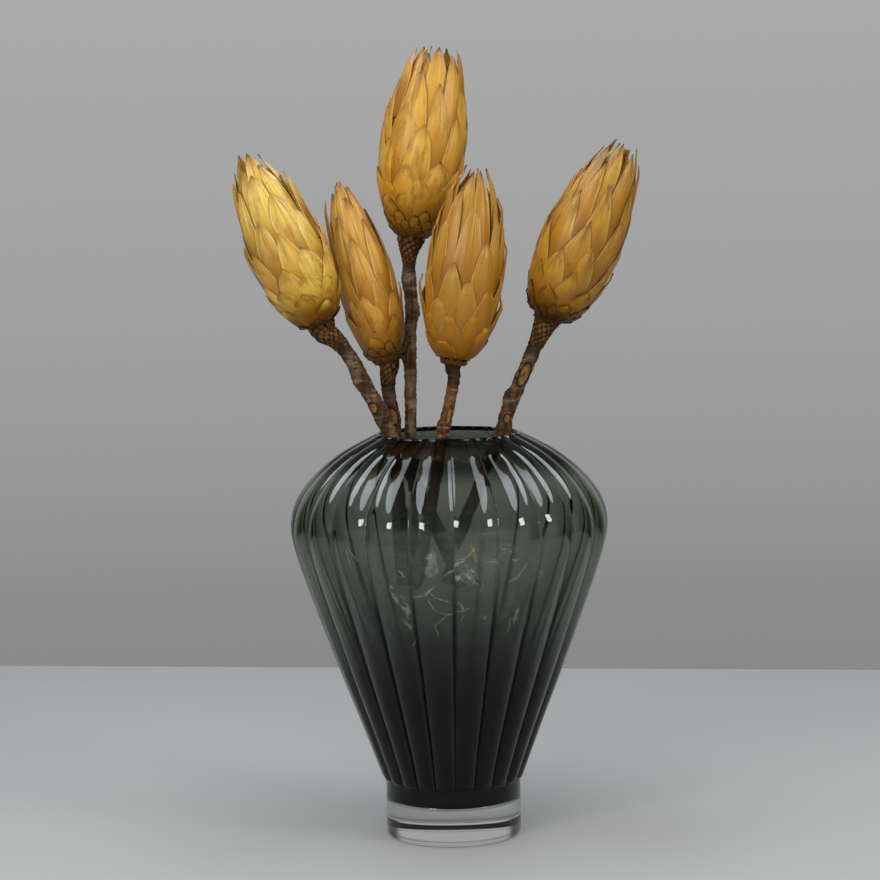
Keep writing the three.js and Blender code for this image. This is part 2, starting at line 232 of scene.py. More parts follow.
class Growth(Wiring):
    """A geometry tree with named inputs, which ends in Realize Instances and Set Material."""

    def __init__(self, name: str, material: Material, sizes: dict[str, float]) -> None:
        """Make the tree.

        Args:
            name: Name of the tree.
            material: Value of its last input, "Material".
            sizes: For each other named input, its value.
        """
        super().__init__(bpy.data.node_groups.new(name, "GeometryNodeTree"))
        self.given = {**sizes, "Material": material}
        self.keys = {}
        interface = self.tree.interface
        interface.new_socket("Geometry", in_out="INPUT", socket_type="NodeSocketGeometry")
        for label in self.given:
            kind = "NodeSocketFloat" if label in sizes else "NodeSocketMaterial"
            self.keys[label] = interface.new_socket(label, in_out="INPUT", socket_type=kind).identifier
        interface.new_socket("Geometry", in_out="OUTPUT", socket_type="NodeSocketGeometry")
        self.start = self.add("NodeGroupInput")
        self.end = self.add("NodeGroupOutput")

    def size(self, label: str) -> Value:
        """Give the value of a named input."""
        return Value(self.tree, self.start.outputs[label])

    def place(self) -> Socket:
        """Give the place of each point."""
        return self.add("GeometryNodeInputPosition").outputs[0]

    def attribute(self, name: str) -> Value:
        """Read a number that is stored on the points."""
        node = self.add("GeometryNodeInputNamedAttribute", Name=name)
        return Value(self.tree, node.outputs["Attribute"])

    def store(self, geometry: Socket, name: str, value: Value) -> Socket:
        """Store a number on the points."""
        node = self.add("GeometryNodeStoreNamedAttribute", Geometry=geometry, Name=name, Value=value)
        return node.outputs[0]

    def moved(self, geometry: Socket, where: Socket) -> Socket:
        """Move the points to where a field says."""
        return self.add("GeometryNodeSetPosition", Geometry=geometry, Position=where).outputs[0]

    def plate(self, around: int, along: int) -> Socket:
        """Make a closed tube of unit size, with its place stored on its points.

        Args:
            around: Points round the tube.
            along: Steps from its root to its tip.

        Returns:
            The tube: "side" and "layer" run from -1 to 1 across it, and "along" from 0 to 1.
        """
        tube = self.add("GeometryNodeMeshCylinder", Vertices=around, Radius=1.0, Depth=2.0)
        self.put(tube.inputs["Side Segments"], along)
        x, y, z = self.parts(self.place())
        made = self.store(tube.outputs["Mesh"], "side", x)
        made = self.store(made, "layer", y)
        return self.store(made, "along", (z + 1.0) * 0.5)

    def on_points(self, instance: Socket, turn: str = "", scale: str = "") -> Socket:
        """Put a copy on each point of the input and make the copies real.

        Args:
            instance: What is copied.
            turn: Name of the stored turn of each copy, if it has one.
            scale: Name of the stored size of each copy, if it has one.

        Returns:
            The copies as one mesh.
        """
        points = self.start.outputs["Geometry"]
        node = self.add("GeometryNodeInstanceOnPoints", Points=points, Instance=instance)
        if turn:
            facing = self.add("GeometryNodeInputNamedAttribute", Name=turn)
            facing.data_type = "FLOAT_VECTOR"
            rotation = self.add("FunctionNodeEulerToRotation", Euler=facing.outputs["Attribute"])
            self.put(node.inputs["Rotation"], rotation.outputs[0])
        if scale:
            self.put(node.inputs["Scale"], self.attribute(scale))
        return self.add("GeometryNodeRealizeInstances", Geometry=node.outputs[0]).outputs[0]

    def finish(self, geometry: Socket) -> None:
        """End the tree with smooth shading, real copies and the material.

        Args:
            geometry: The mesh that the tree has made.
        """
        smooth = self.add("GeometryNodeSetShadeSmooth", Geometry=geometry)
        real = self.add("GeometryNodeRealizeInstances", Geometry=smooth.outputs[0])
        dressed = self.add("GeometryNodeSetMaterial", Geometry=real.outputs[0])
        self.put(dressed.inputs["Material"], self.start.outputs["Material"])
        self.put(self.end.inputs[0], dressed.outputs[0])

    def grow(self, seedbed: Thing) -> Thing:
        """Run the tree on an object and turn the result into a plain mesh.

        Args:
            seedbed: The object whose mesh is the tree's input. It is used up.

        Returns:
            A new object with the finished mesh.
        """
        modifier = seedbed.modifiers.new(self.tree.name, "NODES")
        modifier.node_group = self.tree
        for label, value in self.given.items():
            modifier[self.keys[label]] = value
        bpy.context.view_layer.update()
        seen = seedbed.evaluated_get(bpy.context.evaluated_depsgraph_get())
        mesh = bpy.data.meshes.new_from_object(seen)
        made = bpy.data.objects.new(seedbed.name, mesh)
        seedbed.modifiers.remove(modifier)
        bpy.data.objects.remove(seedbed)
        made.name = mesh.name = made.name.split(".")[0]
        bpy.context.scene.collection.objects.link(made)
        return made


def mesh_object(name: str, points: Sequence, faces: Sequence, smooth: bool = True) -> Thing:
    """Make an object from points and faces.

    Args:
        name: Name of the object.
        points: Places of the points, in metres.
        faces: For each face, the numbers of its points.
        smooth: Whether the faces are shaded smooth.

    Returns:
        The object, linked to the scene.
    """
    mesh = bpy.data.meshes.new(name)
    mesh.from_pydata([tuple(p) for p in points], [], [tuple(f) for f in faces])
    mesh.polygons.foreach_set("use_smooth", [smooth] * len(mesh.polygons))
    made = bpy.data.objects.new(name, mesh)
    bpy.context.scene.collection.objects.link(made)
    return made


def store(thing: Thing, name: str, values: Sequence, kind: str = "FLOAT") -> None:
    """Store a number or a vector on each point of an object.

    Args:
        thing: The object.
        name: Name of the attribute.
        values: One for each point.
        kind: FLOAT or FLOAT_VECTOR.
    """
    attribute = thing.data.attributes.new(name, kind, "POINT")
    flat = np.asarray(values, dtype=np.float32).ravel()
    attribute.data.foreach_set("value" if kind == "FLOAT" else "vector", flat)


def per_ring(values: Sequence[float], sides: int) -> list[float]:
    """Repeat the value of each ring for all its points, and give the two poles after them 0."""
    return [*(value for value in values for _ in range(sides)), 0.0, 0.0]


def joined(first: Thing, *others: Thing) -> Thing:
    """Join objects, keeping their materials and attributes.

    Args:
        first: The object that the others become part of.
        others: The rest, which are used up.

    Returns:
        The first object.
    """
    chosen = [first, *others]
    with bpy.context.temp_override(
        active_object=first, object=first, selected_objects=chosen, selected_editable_objects=chosen
    ):
        bpy.ops.object.join()
    return first


def ring_faces(rings: int, sides: int) -> list[tuple[int, int, int, int]]:
    """Give the faces between rings of points that follow each other, facing out of an upward tube.

    Args:
        rings: Number of rings.
        sides: Points in each ring.

    Returns:
        The faces.
    """
    return [
        (start + j, start + (j + 1) % sides, start + sides + (j + 1) % sides, start + sides + j)
        for start in range(0, (rings - 1) * sides, sides)
        for j in range(sides)
    ]


def tube_faces(rings: int, sides: int) -> list[tuple[int, ...]]:
    """Give the faces of a tube of rings that is closed by a flat cap at each end."""
    caps = [tuple(range(sides - 1, -1, -1)), tuple((rings - 1) * sides + j for j in range(sides))]
    return [*ring_faces(rings, sides), *caps]


def ball_faces(rings: int, sides: int) -> list[tuple[int, ...]]:
    """Give the faces of rings that are closed by two poles.

    Args:
        rings: Number of rings. Their points come first, from the bottom up.
        sides: Points in each ring.

    Returns:
        The faces, where the bottom pole is the first point after the rings and the top pole the next.
    """
    faces: list[tuple[int, ...]] = list(ring_faces(rings, sides))
    last, bottom = (rings - 1) * sides, rings * sides
    for j in range(sides):
        after = (j + 1) % sides
        faces.append((bottom, after, j))
        faces.append((bottom + 1, last + j, last + after))
    return faces


def even_angles(sides: int) -> list[float]:
    """Give evenly spread angles for a full turn."""
    return [2.0 * math.pi * j / sides for j in range(sides)]


def lathe(profile: Sequence[tuple[float, float]], angles: Sequence[float]) -> tuple[list, list]:
    """Turn a half-section round the vertical axis.

    Args:
        profile: Radius and height of each point, from the bottom pole outside and back to the axis.
            The first and the last point are on the axis.
        angles: Where the points of each ring are.

    Returns:
        The points and the faces of a closed surface.
    """
    points = [(r * math.cos(a), r * math.sin(a), z) for r, z in profile[1:-1] for a in angles]
    points += [(0.0, 0.0, profile[0][1]), (0.0, 0.0, profile[-1][1])]
    return points, ball_faces(len(profile) - 2, len(angles))


def direction(line: Sequence[Vector], k: int) -> Vector:
    """Give the direction of a line of points at one of them."""
    return (line[min(k + 1, len(line) - 1)] - line[max(k - 1, 0)]).normalized()


def spline(points: Sequence[Vector], tension: float, steps: int) -> list[Vector]:
    """Give points along a smooth curve through points, with even steps along its length.

    Args:
        points: What the curve runs through.
        tension: How far the neighbours of a point pull its direction; 0.5 is the usual.
        steps: Number of steps.

    Returns:
        One point more than there are steps.
    """
    ends = [2 * points[0] - points[1], *points, 2 * points[-1] - points[-2]]
    fine: list[Vector] = []
    for a, b, c, d in zip(ends, ends[1:], ends[2:], ends[3:]):
        start, stop = tension * (c - a), tension * (d - b)
        for k in range(SPLINE_STEPS):
            t = k / SPLINE_STEPS
            square, cube = t * t, t * t * t
            fine.append(
                (2 * cube - 3 * square + 1) * b
                + (cube - 2 * square + t) * start
                + (3 * square - 2 * cube) * c
                + (cube - square) * stop
            )
    fine.append(points[-1].copy())
    whole = np.array([tuple(p) for p in fine])
    run = np.concatenate(([0.0], np.cumsum(np.linalg.norm(np.diff(whole, axis=0), axis=1))))
    even = np.linspace(0.0, run[-1], steps + 1)
    return [Vector(place) for place in np.stack([np.interp(even, run, axis) for axis in whole.T], 1)]


class Tint(Wiring):
    """Short ways to add the nodes that colours are made of."""

    def mix(self, share: Value | float, first: "Socket | Colour", second: "Socket | Colour") -> Socket:
        """Mix two colours.

        Args:
            share: How much of the second there is.
            first: A colour or a colour socket.
            second: A colour or a colour socket.

        Returns:
            The mixed colour.
        """
        node = self.add("ShaderNodeMix")
        node.data_type = "RGBA"
        self.put(node.inputs["Factor"], share)
        for slot, item in ((node.inputs[6], first), (node.inputs[7], second)):
            self.put(slot, item if isinstance(item, Socket) else (*item, 1.0))
        return node.outputs[2]

    def layers(self, ground: "Socket | Colour", *coats: tuple) -> Socket:
        """Lay coats of colour over a ground, in order.

        Args:
            ground: The colour underneath.
            coats: For each coat, how much it covers and its colour.

        Returns:
            The colour that is seen.
        """
        for share, colour in coats:
            ground = self.mix(share, ground, colour)
        return ground

    def ramp(self, share: Value, stops: Sequence[tuple[float, Colour]]) -> Socket:
        """Give a colour from a row of colours.

        Args:
            share: Where along the row, from 0 to 1.
            stops: Place and colour of each stop, in order.

        Returns:
            The colour.
        """
        node = self.add("ShaderNodeValToRGB")
        while len(node.color_ramp.elements) < len(stops):
            node.color_ramp.elements.new(0.5)
        for element, (at, colour) in zip(node.color_ramp.elements, stops):
            element.position = at
            element.color = (*colour, 1.0)
        self.put(node.inputs[0], share)
        return node.outputs[0]


class Paint(Tint):
    """Nodes of one material."""

    def __init__(self, name: str) -> None:
        """Make an empty material with a Principled shader.

        Args:
            name: Name of the material.
        """
        self.material = bpy.data.materials.new(name)
        self.material.use_nodes = True
        super().__init__(self.material.node_tree)
        self.shader = self.tree.nodes["Principled BSDF"]
        self.output = self.tree.nodes["Material Output"]

    def stored(self, name: str) -> Value:
        """Read a number that is stored on the piece's points.

        Args:
            name: What it is stored as.

        Returns:
            The number, or 0 where nothing is stored.
        """
        node = self.add("ShaderNodeAttribute")
        node.attribute_name = name
        return Value(self.tree, node.outputs["Fac"])

    def place(self) -> Socket:
        """Give the place on the object."""
        return self.add("ShaderNodeTexCoord").outputs["Object"]

    def cell_edge(self, where: Socket, scale: float) -> Value:
        """Give the distance from the borders of irregular cells.

        Args:
            where: The coordinates that the cells are in.
            scale: How many of them fit in one unit.

        Returns:
            The distance, as a share of a cell's size.
        """
        node = self.add("ShaderNodeTexVoronoi", Vector=where, Scale=scale)
        node.feature = "DISTANCE_TO_EDGE"
        return Value(self.tree, node.outputs["Distance"])

    def bump(self, height: Value, depth: float, strength: float = 1.0) -> None:
        """Give the surface a relief of the depth, in metres."""
        node = self.add("ShaderNodeBump", Strength=strength, Distance=depth, Height=height)
        self.put(self.shader.inputs["Normal"], node.outputs[0])

    def set(self, **values: object) -> None:
        """Set inputs of the shader; an underscore stands for a space."""
        for name, value in values.items():
            self.put(self.shader.inputs[name.replace("_", " ")], value)


@dataclass(frozen=True)
class BractFinish:
    """Dried bract: waxy ochre, with a brown tip and brown patches. Its rim has a dark outline, partly its
    own brown edge and partly painted shade of the gap under it, and a painted highlight just inside that.
    The upper bracts carry a painted sheen, and each bract darkens towards its root with painted shade
    where other bracts overlap it.

    yellowness is how far a bract leans to yellow, and the last three are how brown its tip is, how much
    darker the lowest bracts of the head are, partly brown and partly painted shade, and how far brown
    patches spread towards the tip.
    """

    ochre: Colour = (0.61, 0.305, 0.022)
    yellow: Colour = (0.73, 0.44, 0.058)
    rust: Colour = (0.33, 0.125, 0.006)
    highlight_cream: Colour = (0.78, 0.56, 0.19)
    mauve: Colour = (0.17, 0.060, 0.012)
    brown: Colour = (0.17, 0.062, 0.003)
    dark: Colour = (0.034, 0.013, 0.003)
    scale: Colour = (0.34, 0.160, 0.012)
    low_scale: Colour = (0.085, 0.038, 0.007)
    yellowness: float = 0.6
    tip_brown: float = 0.7
    base_brown: float = 0.8
    bruised: float = 0.08

    def paint(self, name: str) -> Material:
        """Make the material.

        Args:
            name: Name of the material.

        Returns:
            A material that reads the bracts' stored side, along, rank, shade and brown. A rank under 0
            is that of a small scale at the head's base.
        """
        paint = Paint(name)
        side, along = paint.stored("side"), paint.stored("along")
        rank, shade = paint.stored("rank"), paint.stored("shade")
        place, edge = paint.place(), side.size()
        fibre = paint.noise(paint.vector(side * 7.0, along * 1.6, shade * 31.0), 1.6, 4.0, 0.6)
        streak = paint.noise(paint.vector(side * 4.5, along * 0.8, shade * 17.0), 2.2, 3.0, 0.6)
        patchy = paint.vector(side * 0.9, along * 2.3, shade * 23.0 + rank * 5.0)
        patch = paint.noise(patchy, 1.7, 3.0, 0.55)
        fine = paint.noise(place, 620.0, 3.0, 0.6)
        smudge = paint.noise(place, 260.0, 4.0, 0.65)
        # pale marks the middles of the upper bracts, where a painted sheen lies in streaks.
        pale = along.step(0.5, 0.8) * along.step(1.0, 0.86) * rank.step(0.15, 0.85)
        # How strongly the dark rim outline shows, broken by noise: partly its own brown edge, partly
        # painted shade.
        broken_outline_shade = 0.30 + 0.62 * smudge.step(0.43, 0.56)
        bruise = along.step(0.60, 0.92) * patch.step(0.42, 0.56) * self.bruised
        tip = along.step(0.80, 1.0) * (0.1 + self.tip_brown * patch)
        point = along.step(0.94, 1.0) * rank.step(0.5, 0.9) * smudge.step(0.4, 0.5)
        # low: the lowest bracts are darker, partly their own brown and partly painted shade under the
        # head.
        low = rank.step(0.34, 0.02) * self.base_brown
        low_rim = edge.step(0.1, 0.8).most(along.step(0.85, 0.45))
        bract = paint.layers(
            self.ochre,
            (shade.step(-0.8, 0.8) * self.yellowness, self.yellow),
            (paint.stored("brown"), self.rust),
            (patch.step(0.48, 0.66) * 0.6, self.rust),
            # Painted shade: each bract turns rust, then brown, towards its root, where other bracts
            # overlap it.
            (along.step(0.78, 0.4) * 0.62, self.rust),
            (along.step(0.6, 0.3) * 0.5, self.brown),
            # Painted highlight: pale yellow sheen streaks along the upper bracts.
            (pale * streak.step(0.38, 0.68) * 0.6, self.highlight_cream),
            ((fibre - 0.5).size().step(0.02, 0.2) * 0.15, self.rust),
            (streak.step(0.46, 0.32) * 0.22, self.brown),
            (smudge.step(0.60, 0.70) * 0.4, self.brown),
            # Painted highlight: a pale line just inside the rim.
            (edge.step(0.82, 0.92) * 0.45 * smudge.step(0.38, 0.5), self.highlight_cream),
            # Dark outline at the rim: partly the bract's own brown edge, partly painted shade of the gap
            # under it.
            (edge.step(0.945, 0.985) * broken_outline_shade, self.mauve),
            (bruise.most(tip), self.mauve),
            (point * 0.7, self.dark),
            # Lowest bracts darker, most at their sides and roots: partly brown, partly painted shade.
            (low * (0.4 + 0.5 * low_rim), self.brown),
            (low * edge.step(0.84, 0.95) * 0.8, self.dark),
            (fine.step(0.71, 0.76) * 0.7, self.dark),
        )
        scale = paint.layers(
            self.scale,
            (rank.step(-0.02, -0.28), self.low_scale),
            (edge.step(0.55, 0.85).most(along.step(0.8, 0.95)) * 0.95, self.dark),
            (patch.step(0.45, 0.7) * 0.5, self.brown),
        )
        paint.set(Base_Color=paint.mix(rank.step(0.0, -0.02), bract, scale), Roughness=0.24 + 0.26 * fine)
        paint.set(Specular_IOR_Level=0.14 + 0.28 * rank.step(0.05, 0.45))
        paint.bump(fibre * 0.28 + streak * 0.2 + fine * 0.3, 0.3 * MM, 0.5)
        return paint.material


@dataclass(frozen=True)
class GapFinish:
    """Dark inside of a head."""

    dark: Colour = (0.085, 0.032, 0.006)
    brown: Colour = (0.20, 0.080, 0.012)

    def paint(self) -> Material:
        """Make the material.

        Returns:
            The material.
        """
        paint = Paint("head_core")
        mottle = paint.noise(paint.place(), 300.0, 3.0, 0.6)
        paint.set(Base_Color=paint.mix(mottle.step(0.45, 0.7), self.dark, self.brown))
        paint.set(Roughness=0.7, Specular_IOR_Level=0.2)
        return paint.material


@dataclass(frozen=True)
class BarkFinish:
    """Dry bark: grey-brown, darker under the head, with ochre scars.

    It is in shadow below the vase's rim and greyer through the glass further down. Each pair of
    heights, in metres, is where that starts and where it is full.
    """

    brown: Colour = (0.062, 0.026, 0.008)
    grey: Colour = (0.125, 0.080, 0.044)
    pale: Colour = (0.22, 0.15, 0.095)
    dark: Colour = (0.018, 0.009, 0.005)
    ochre: Colour = (0.24, 0.118, 0.028)
    dull_tone: Colour = (0.10, 0.11, 0.095)
    reddish: Colour = (0.14, 0.050, 0.010)
    shadow_heights: tuple[float, float] = (0.213, 0.203)
    grey_heights: tuple[float, float] = (0.185, 0.158)

    def paint(self, name: str, red: float) -> Material:
        """Make the material.

        Args:
            name: Name of the material.
            red: How far the bark leans from grey to red-brown, from 0 to 1.

        Returns:
            A material that reads the stem's stored neck and scar.
        """
        paint = Paint(name)
        place = paint.place()
        x, y, z = paint.parts(place)
        wrinkle = paint.noise(paint.vector(x * 90.0, y * 90.0, z * 420.0), 1.0, 3.0, 0.6)
        streak = paint.noise(paint.vector(x * 420.0, y * 420.0, z * 45.0), 1.0, 3.0, 0.6)
        patch = paint.noise(place, 140.0, 2.0, 0.5)
        fine = paint.noise(place, 900.0, 3.0, 0.65)
        scar = paint.stored("scar")
        cut = paint.layers(
            self.ochre,
            (scar.step(0.80, 0.94) * 0.7, self.brown),
            (streak.step(0.44, 0.60) * 0.6, self.brown),
        )
        colour = paint.layers(
            self.brown,
            (patch.step(0.35, 0.65), self.grey),
            (red, self.reddish),
            (streak.step(0.46, 0.62) * 0.75, self.dark),
            (wrinkle.step(0.44, 0.34) * 0.6, self.dark),
            (wrinkle.step(0.54, 0.64) * 0.7, self.pale),
            (paint.stored("neck") * 0.85, self.dark),
            (fine.step(0.66, 0.72) * 0.35, self.ochre),
            (scar.step(0.005, 0.06), self.dark),
            (scar.step(0.14, 0.30), cut),
            (z.step(*self.shadow_heights) * 0.85, self.dark),
            # Greyer further down, where the stem is seen through the glass.
            (z.step(*self.grey_heights) * 0.85, self.dull_tone),
        )
        paint.set(Base_Color=colour, Roughness=0.62 + 0.25 * fine, Specular_IOR_Level=0.2)
        paint.bump(wrinkle * 0.5 + streak * 0.3 + fine * 0.2, 0.9 * MM, 0.9)
        return paint.material


@dataclass(frozen=True)
class GlassFinish:
    """Glass that takes light away along its path.

    left is the share of light that stays and density how soon the rest goes. line and dusk are the tints
    of
    the stored painted shade: the dark lines, and the dusk, which is partly deeper smoke. shine is the tint
    of what either mirrors, so they dim its reflections as painted shade too. shade_left is the share of
    light that reaches what stands in the glass's shadow.
    """

    name: str
    left: Colour
    density: float
    line: Colour = WHITE
    dusk: Colour = WHITE
    shade_left: Colour = (0.95, 0.95, 0.95)
    shine: Colour = WHITE

    def paint(self) -> Material:
        """Make the material.

        Returns:
            Glass whose inside lets light from lamps through to what stands in it.
        """
        paint = Paint(self.name)
        line, dusk, glint = paint.stored("line"), paint.stored("dusk"), paint.stored("glint")
        fleck = paint.noise(paint.place(), 260.0, 2.0, 0.5)
        # The stored painted shade, dark lines and dusk, darkens the glass's colour.
        tinted = paint.layers(
            WHITE, (fleck.step(0.62, 0.75) * 0.03, (0.8, 0.82, 0.82)), (dusk, self.dusk), (line, self.line)
        )
        paint.set(Base_Color=tinted, Roughness=0.0, IOR=1.5, Transmission_Weight=1.0)
        # They also dim what the glass mirrors, a painted shade on its reflections, less so at the painted
        # glints.
        dull = (dusk * (0.6 - 0.4 * glint)).most(line)
        paint.set(Specular_Tint=paint.mix(dull, WHITE, self.shine))
        through = paint.add("ShaderNodeBsdfTransparent", Color=(*self.shade_left, 1.0))
        path = paint.add("ShaderNodeLightPath")
        mixed = paint.add("ShaderNodeMixShader")
        sources = (path.outputs["Is Shadow Ray"], paint.shader.outputs[0], through.outputs[0])
        for slot, source in zip(mixed.inputs, sources):
            paint.put(slot, source)
        paint.put(paint.output.inputs["Surface"], mixed.outputs[0])
        inside = paint.add("ShaderNodeVolumeAbsorption", Color=(*self.left, 1.0), Density=self.density)
        paint.put(paint.output.inputs["Volume"], inside.outputs[0])
        return paint.material


@dataclass(frozen=True)
class DarkGlassFace:
    """Face of dark glass as it is seen from the clear glass that it is fused to."""

    colour: Colour = (0.012, 0.013, 0.013)
    cloudy: Colour = (0.03, 0.03, 0.03)

    def paint(self) -> Material:
        """Make the material.

        Returns:
            The material.
        """
        paint = Paint("dark_glass_face")
        cloud = paint.noise(paint.place(), 180.0, 2.0, 0.5)
        paint.set(Base_Color=paint.mix(cloud * 0.4, self.colour, self.cloudy), Roughness=0.25)
        paint.set(Specular_IOR_Level=0.0)
        return paint.material


@dataclass(frozen=True)
class FilmFinish:
    """Crumpled clear film: nearly invisible except at its creases, with an orange-brown scrap of leaf."""

    colour: Colour = (0.66, 0.80, 0.76)
    bright: Colour = (0.97, 0.98, 0.97)
    leaf: Colour = (0.72, 0.34, 0.07)

    def paint(self) -> Material:
        """Make the material.

        Returns:
            The material, with painted glints at its creases.
        """
        paint = Paint("clear_film")
        place = paint.place()
        x, y, z = paint.parts(place)
        bend = paint.noise(place, 45.0, 3.0, 0.6) * 0.03
        folded = paint.vector(x + bend, y - bend, z + bend * 0.8)
        large, small = paint.cell_edge(folded, 30.0), paint.cell_edge(folded, 95.0)
        where = paint.noise(place, 48.0, 2.0, 0.5)
        # Painted glints: the creases, the folds and a few patches are near-white and less clear than the
        # film.
        sharp = large.step(0.012, 0.003) * where.step(0.64, 0.70)
        fine = small.step(0.05, 0.012) * where.step(0.66, 0.72)
        fold = paint.stored("fold") * paint.noise(place, 260.0, 3.0, 0.6).step(0.32, 0.6)
        crease = (sharp * 0.4).most(fine * 0.6).most(fold)
        leafy = paint.stored("leafy")
        colour = paint.layers(self.colour, (fold.most(where), self.bright), (leafy, self.leaf))
        paint.set(Base_Color=colour, Roughness=0.16)
        paint.set(Alpha=0.012 + 0.06 * where.step(0.58, 0.72) + 0.92 * crease, Specular_IOR_Level=0.8)
        return paint.material


@dataclass
class Vase:
    """Blown vase: a fluted smoked body with a thick floor, on a clear foot. Sizes are in metres.

    crests is the outline at the crests of the flutes, as radius and height in millimetres.
    """

    flutes: int = 22
    steps_per_flute: int = 16
    foot_radius: float = 35.3 * MM
    foot_height: float = 20.6 * MM
    foot_edge: float = 2.4 * MM
    collar_top: float = 29.8 * MM
    cavity_floor: float = 35.0 * MM
    wall_at_rim: float = 2.1 * MM
    wall_at_floor: float = 5.6 * MM
    flute_depth: float = 3.0 * MM
    flute_depth_at_foot: float = 1.7 * MM
    flute_depth_at_rim: float = 1.0 * MM
    flute_turn: float = math.radians(1.5)
    outer_sharpness: float = 0.03
    inner_sharpness: float = 0.12
    outer_steps: int = 110
    inner_steps: int = 64
    seam: float = 0.04 * MM
    recess: float = 0.15 * MM
    body_edge: float = 0.12 * MM
    collar_drop: float = 0.9 * MM
    collar_steps: int = 8
    outer_end: float = 0.992
    rim_steps: int = 8
    inner_start: float = 0.985
    inner_end: float = 0.075
    floor_rounding: float = 9.0 * MM
    floor_steps: int = 12
    flatness: float = 0.46
    foot_sides: int = 176
    crests: tuple[tuple[float, float], ...] = (
        (37.2, 31.4),
        (45.6, 54.0),
        (56.0, 81.0),
        (66.1, 108.4),
        (75.1, 133.8),
        (80.9, 152.7),
        (82.5, 165.3),
        (79.0, 177.9),
        (69.6, 190.3),
        (55.2, 201.9),
        (38.6, 210.6),
    )
    crest_line: list[Vector] = field(default_factory=list)

    def __post_init__(self) -> None:
        """Work out the outline at the crests of the flutes."""
        points = [Vector((r * MM, z * MM, 0.0)) for r, z in self.crests]
        self.crest_line = spline(points, 0.5, 400)

    def crest(self, share: float) -> tuple[float, float]:
        """Give radius and height at a share of the outline's length.

        Args:
            share: From 0 at the foot to 1 at the rim.

        Returns:
            Radius and height in metres.
        """
        at = share * (len(self.crest_line) - 1)
        low = min(int(at), len(self.crest_line) - 2)
        point = self.crest_line[low].lerp(self.crest_line[low + 1], at - low)
        return point.x, point.y

    def depth(self, share: float) -> float:
        """Give the depth of the grooves at a share of the outline's length.

        Args:
            share: From 0 at the foot to 1 at the rim.

        Returns:
            The depth in metres.
        """
        middle = max(0.0, math.sin(math.pi * share**0.8))
        ends = lerp(self.flute_depth_at_foot, self.flute_depth_at_rim, share)
        return ends + (self.flute_depth - ends) * middle

    def wall(self, share: float) -> float:
        """Give the thickness of the wall at a share of the outline's length."""
        return lerp(self.wall_at_floor, self.wall_at_rim, share**0.6)

    def body_profile(self) -> list[tuple[float, float, float]]:
        """Give radius, height and groove depth along the whole section of the body.

        Returns:
            The points from the underside's centre, up the outside, over the rim and down to the
            cavity's centre.
        """
        low, edge = self.foot_height + self.seam, self.body_edge
        top, steps = self.collar_top - self.collar_drop, self.collar_steps
        out = [(0.0, low, 0.0), (0.6 * self.foot_radius, low, 0.0)]
        out += [(self.foot_radius - edge, low, 0.0), (self.foot_radius, low + edge, 0.0)]
        for k in range(1, steps + 1):
            out.append((self.foot_radius, lerp(low + edge, top, k / steps), 0.0))
        first_radius, first_height = self.crest(0.0)
        for k in range(1, steps):
            turn = math.pi / 2 * k / steps
            radius = lerp(self.foot_radius, first_radius, 1 - math.cos(turn))
            height = lerp(top, first_height, math.sin(turn) * 0.72)
            out.append((radius, height, self.flute_depth_at_foot * math.sin(turn) ** 2))
        for k in range(self.outer_steps + 1):
            share = k / self.outer_steps * self.outer_end
            out.append((*self.crest(share), self.depth(share)))
        return out + self.rim() + self.inside()

    def rim(self) -> list[tuple[float, float, float]]:
        """Give the rolled lip, from the outside to the inside.

        Returns:
            Radius, height and groove depth.
        """
        radius, height = self.crest(1.0)
        wall = self.wall(1.0) + self.flute_depth_at_rim * 0.3
        points = []
        for k in range(self.rim_steps + 1):
            turn = math.pi * (0.12 + 0.88 * k / self.rim_steps)
            across = radius - 0.5 * wall + 0.5 * wall * math.cos(turn) - 0.2 * MM
            up = height - 0.55 * MM + 0.5 * wall * math.sin(turn) * 0.95
            points.append((across, up, lerp(0.75, 0.25, k / self.rim_steps) * self.flute_depth_at_rim))
        return points

    def inside(self) -> list[tuple[float, float, float]]:
        """Give the cavity's wall from the rim down to its floor.

        Returns:
            Radius, height and groove depth.
        """
        points = []
        for k in range(1, self.inner_steps + 1):
            share = lerp(self.inner_start, self.inner_end, k / self.inner_steps)
            radius, height = self.crest(share)
            points.append((radius - self.wall(share), height, self.depth(share)))
        last, height, depth = points[-1]
        drop = height - self.cavity_floor
        for k in range(1, self.floor_steps + 1):
            turn = math.pi / 2 * k / self.floor_steps
            radius = last - self.floor_rounding * (1 - math.cos(turn))
            points.append((radius, height - drop * math.sin(turn), depth * math.cos(turn)))
        floor = points[-1][0]
        points += [(floor * k, self.cavity_floor, 0.0) for k in (0.75, 0.4)]
        return [*points, (0.0, self.cavity_floor, 0.0)]

    def flute_angles(self) -> list[float]:
        """Give the angles of the body's points, closer together beside each groove.

        Returns:
            The angles, for one turn.
        """
        angles, flute = [], 2.0 * math.pi / self.flutes
        for n in range(self.flutes):
            start = self.flute_turn - math.pi / 2 + n * flute
            for k in range(self.steps_per_flute):
                across = math.sin(math.pi / 2 * (2.0 * k / self.steps_per_flute - 1.0))
                angles.append(start + flute * (0.5 + 0.5 * across))
        return angles

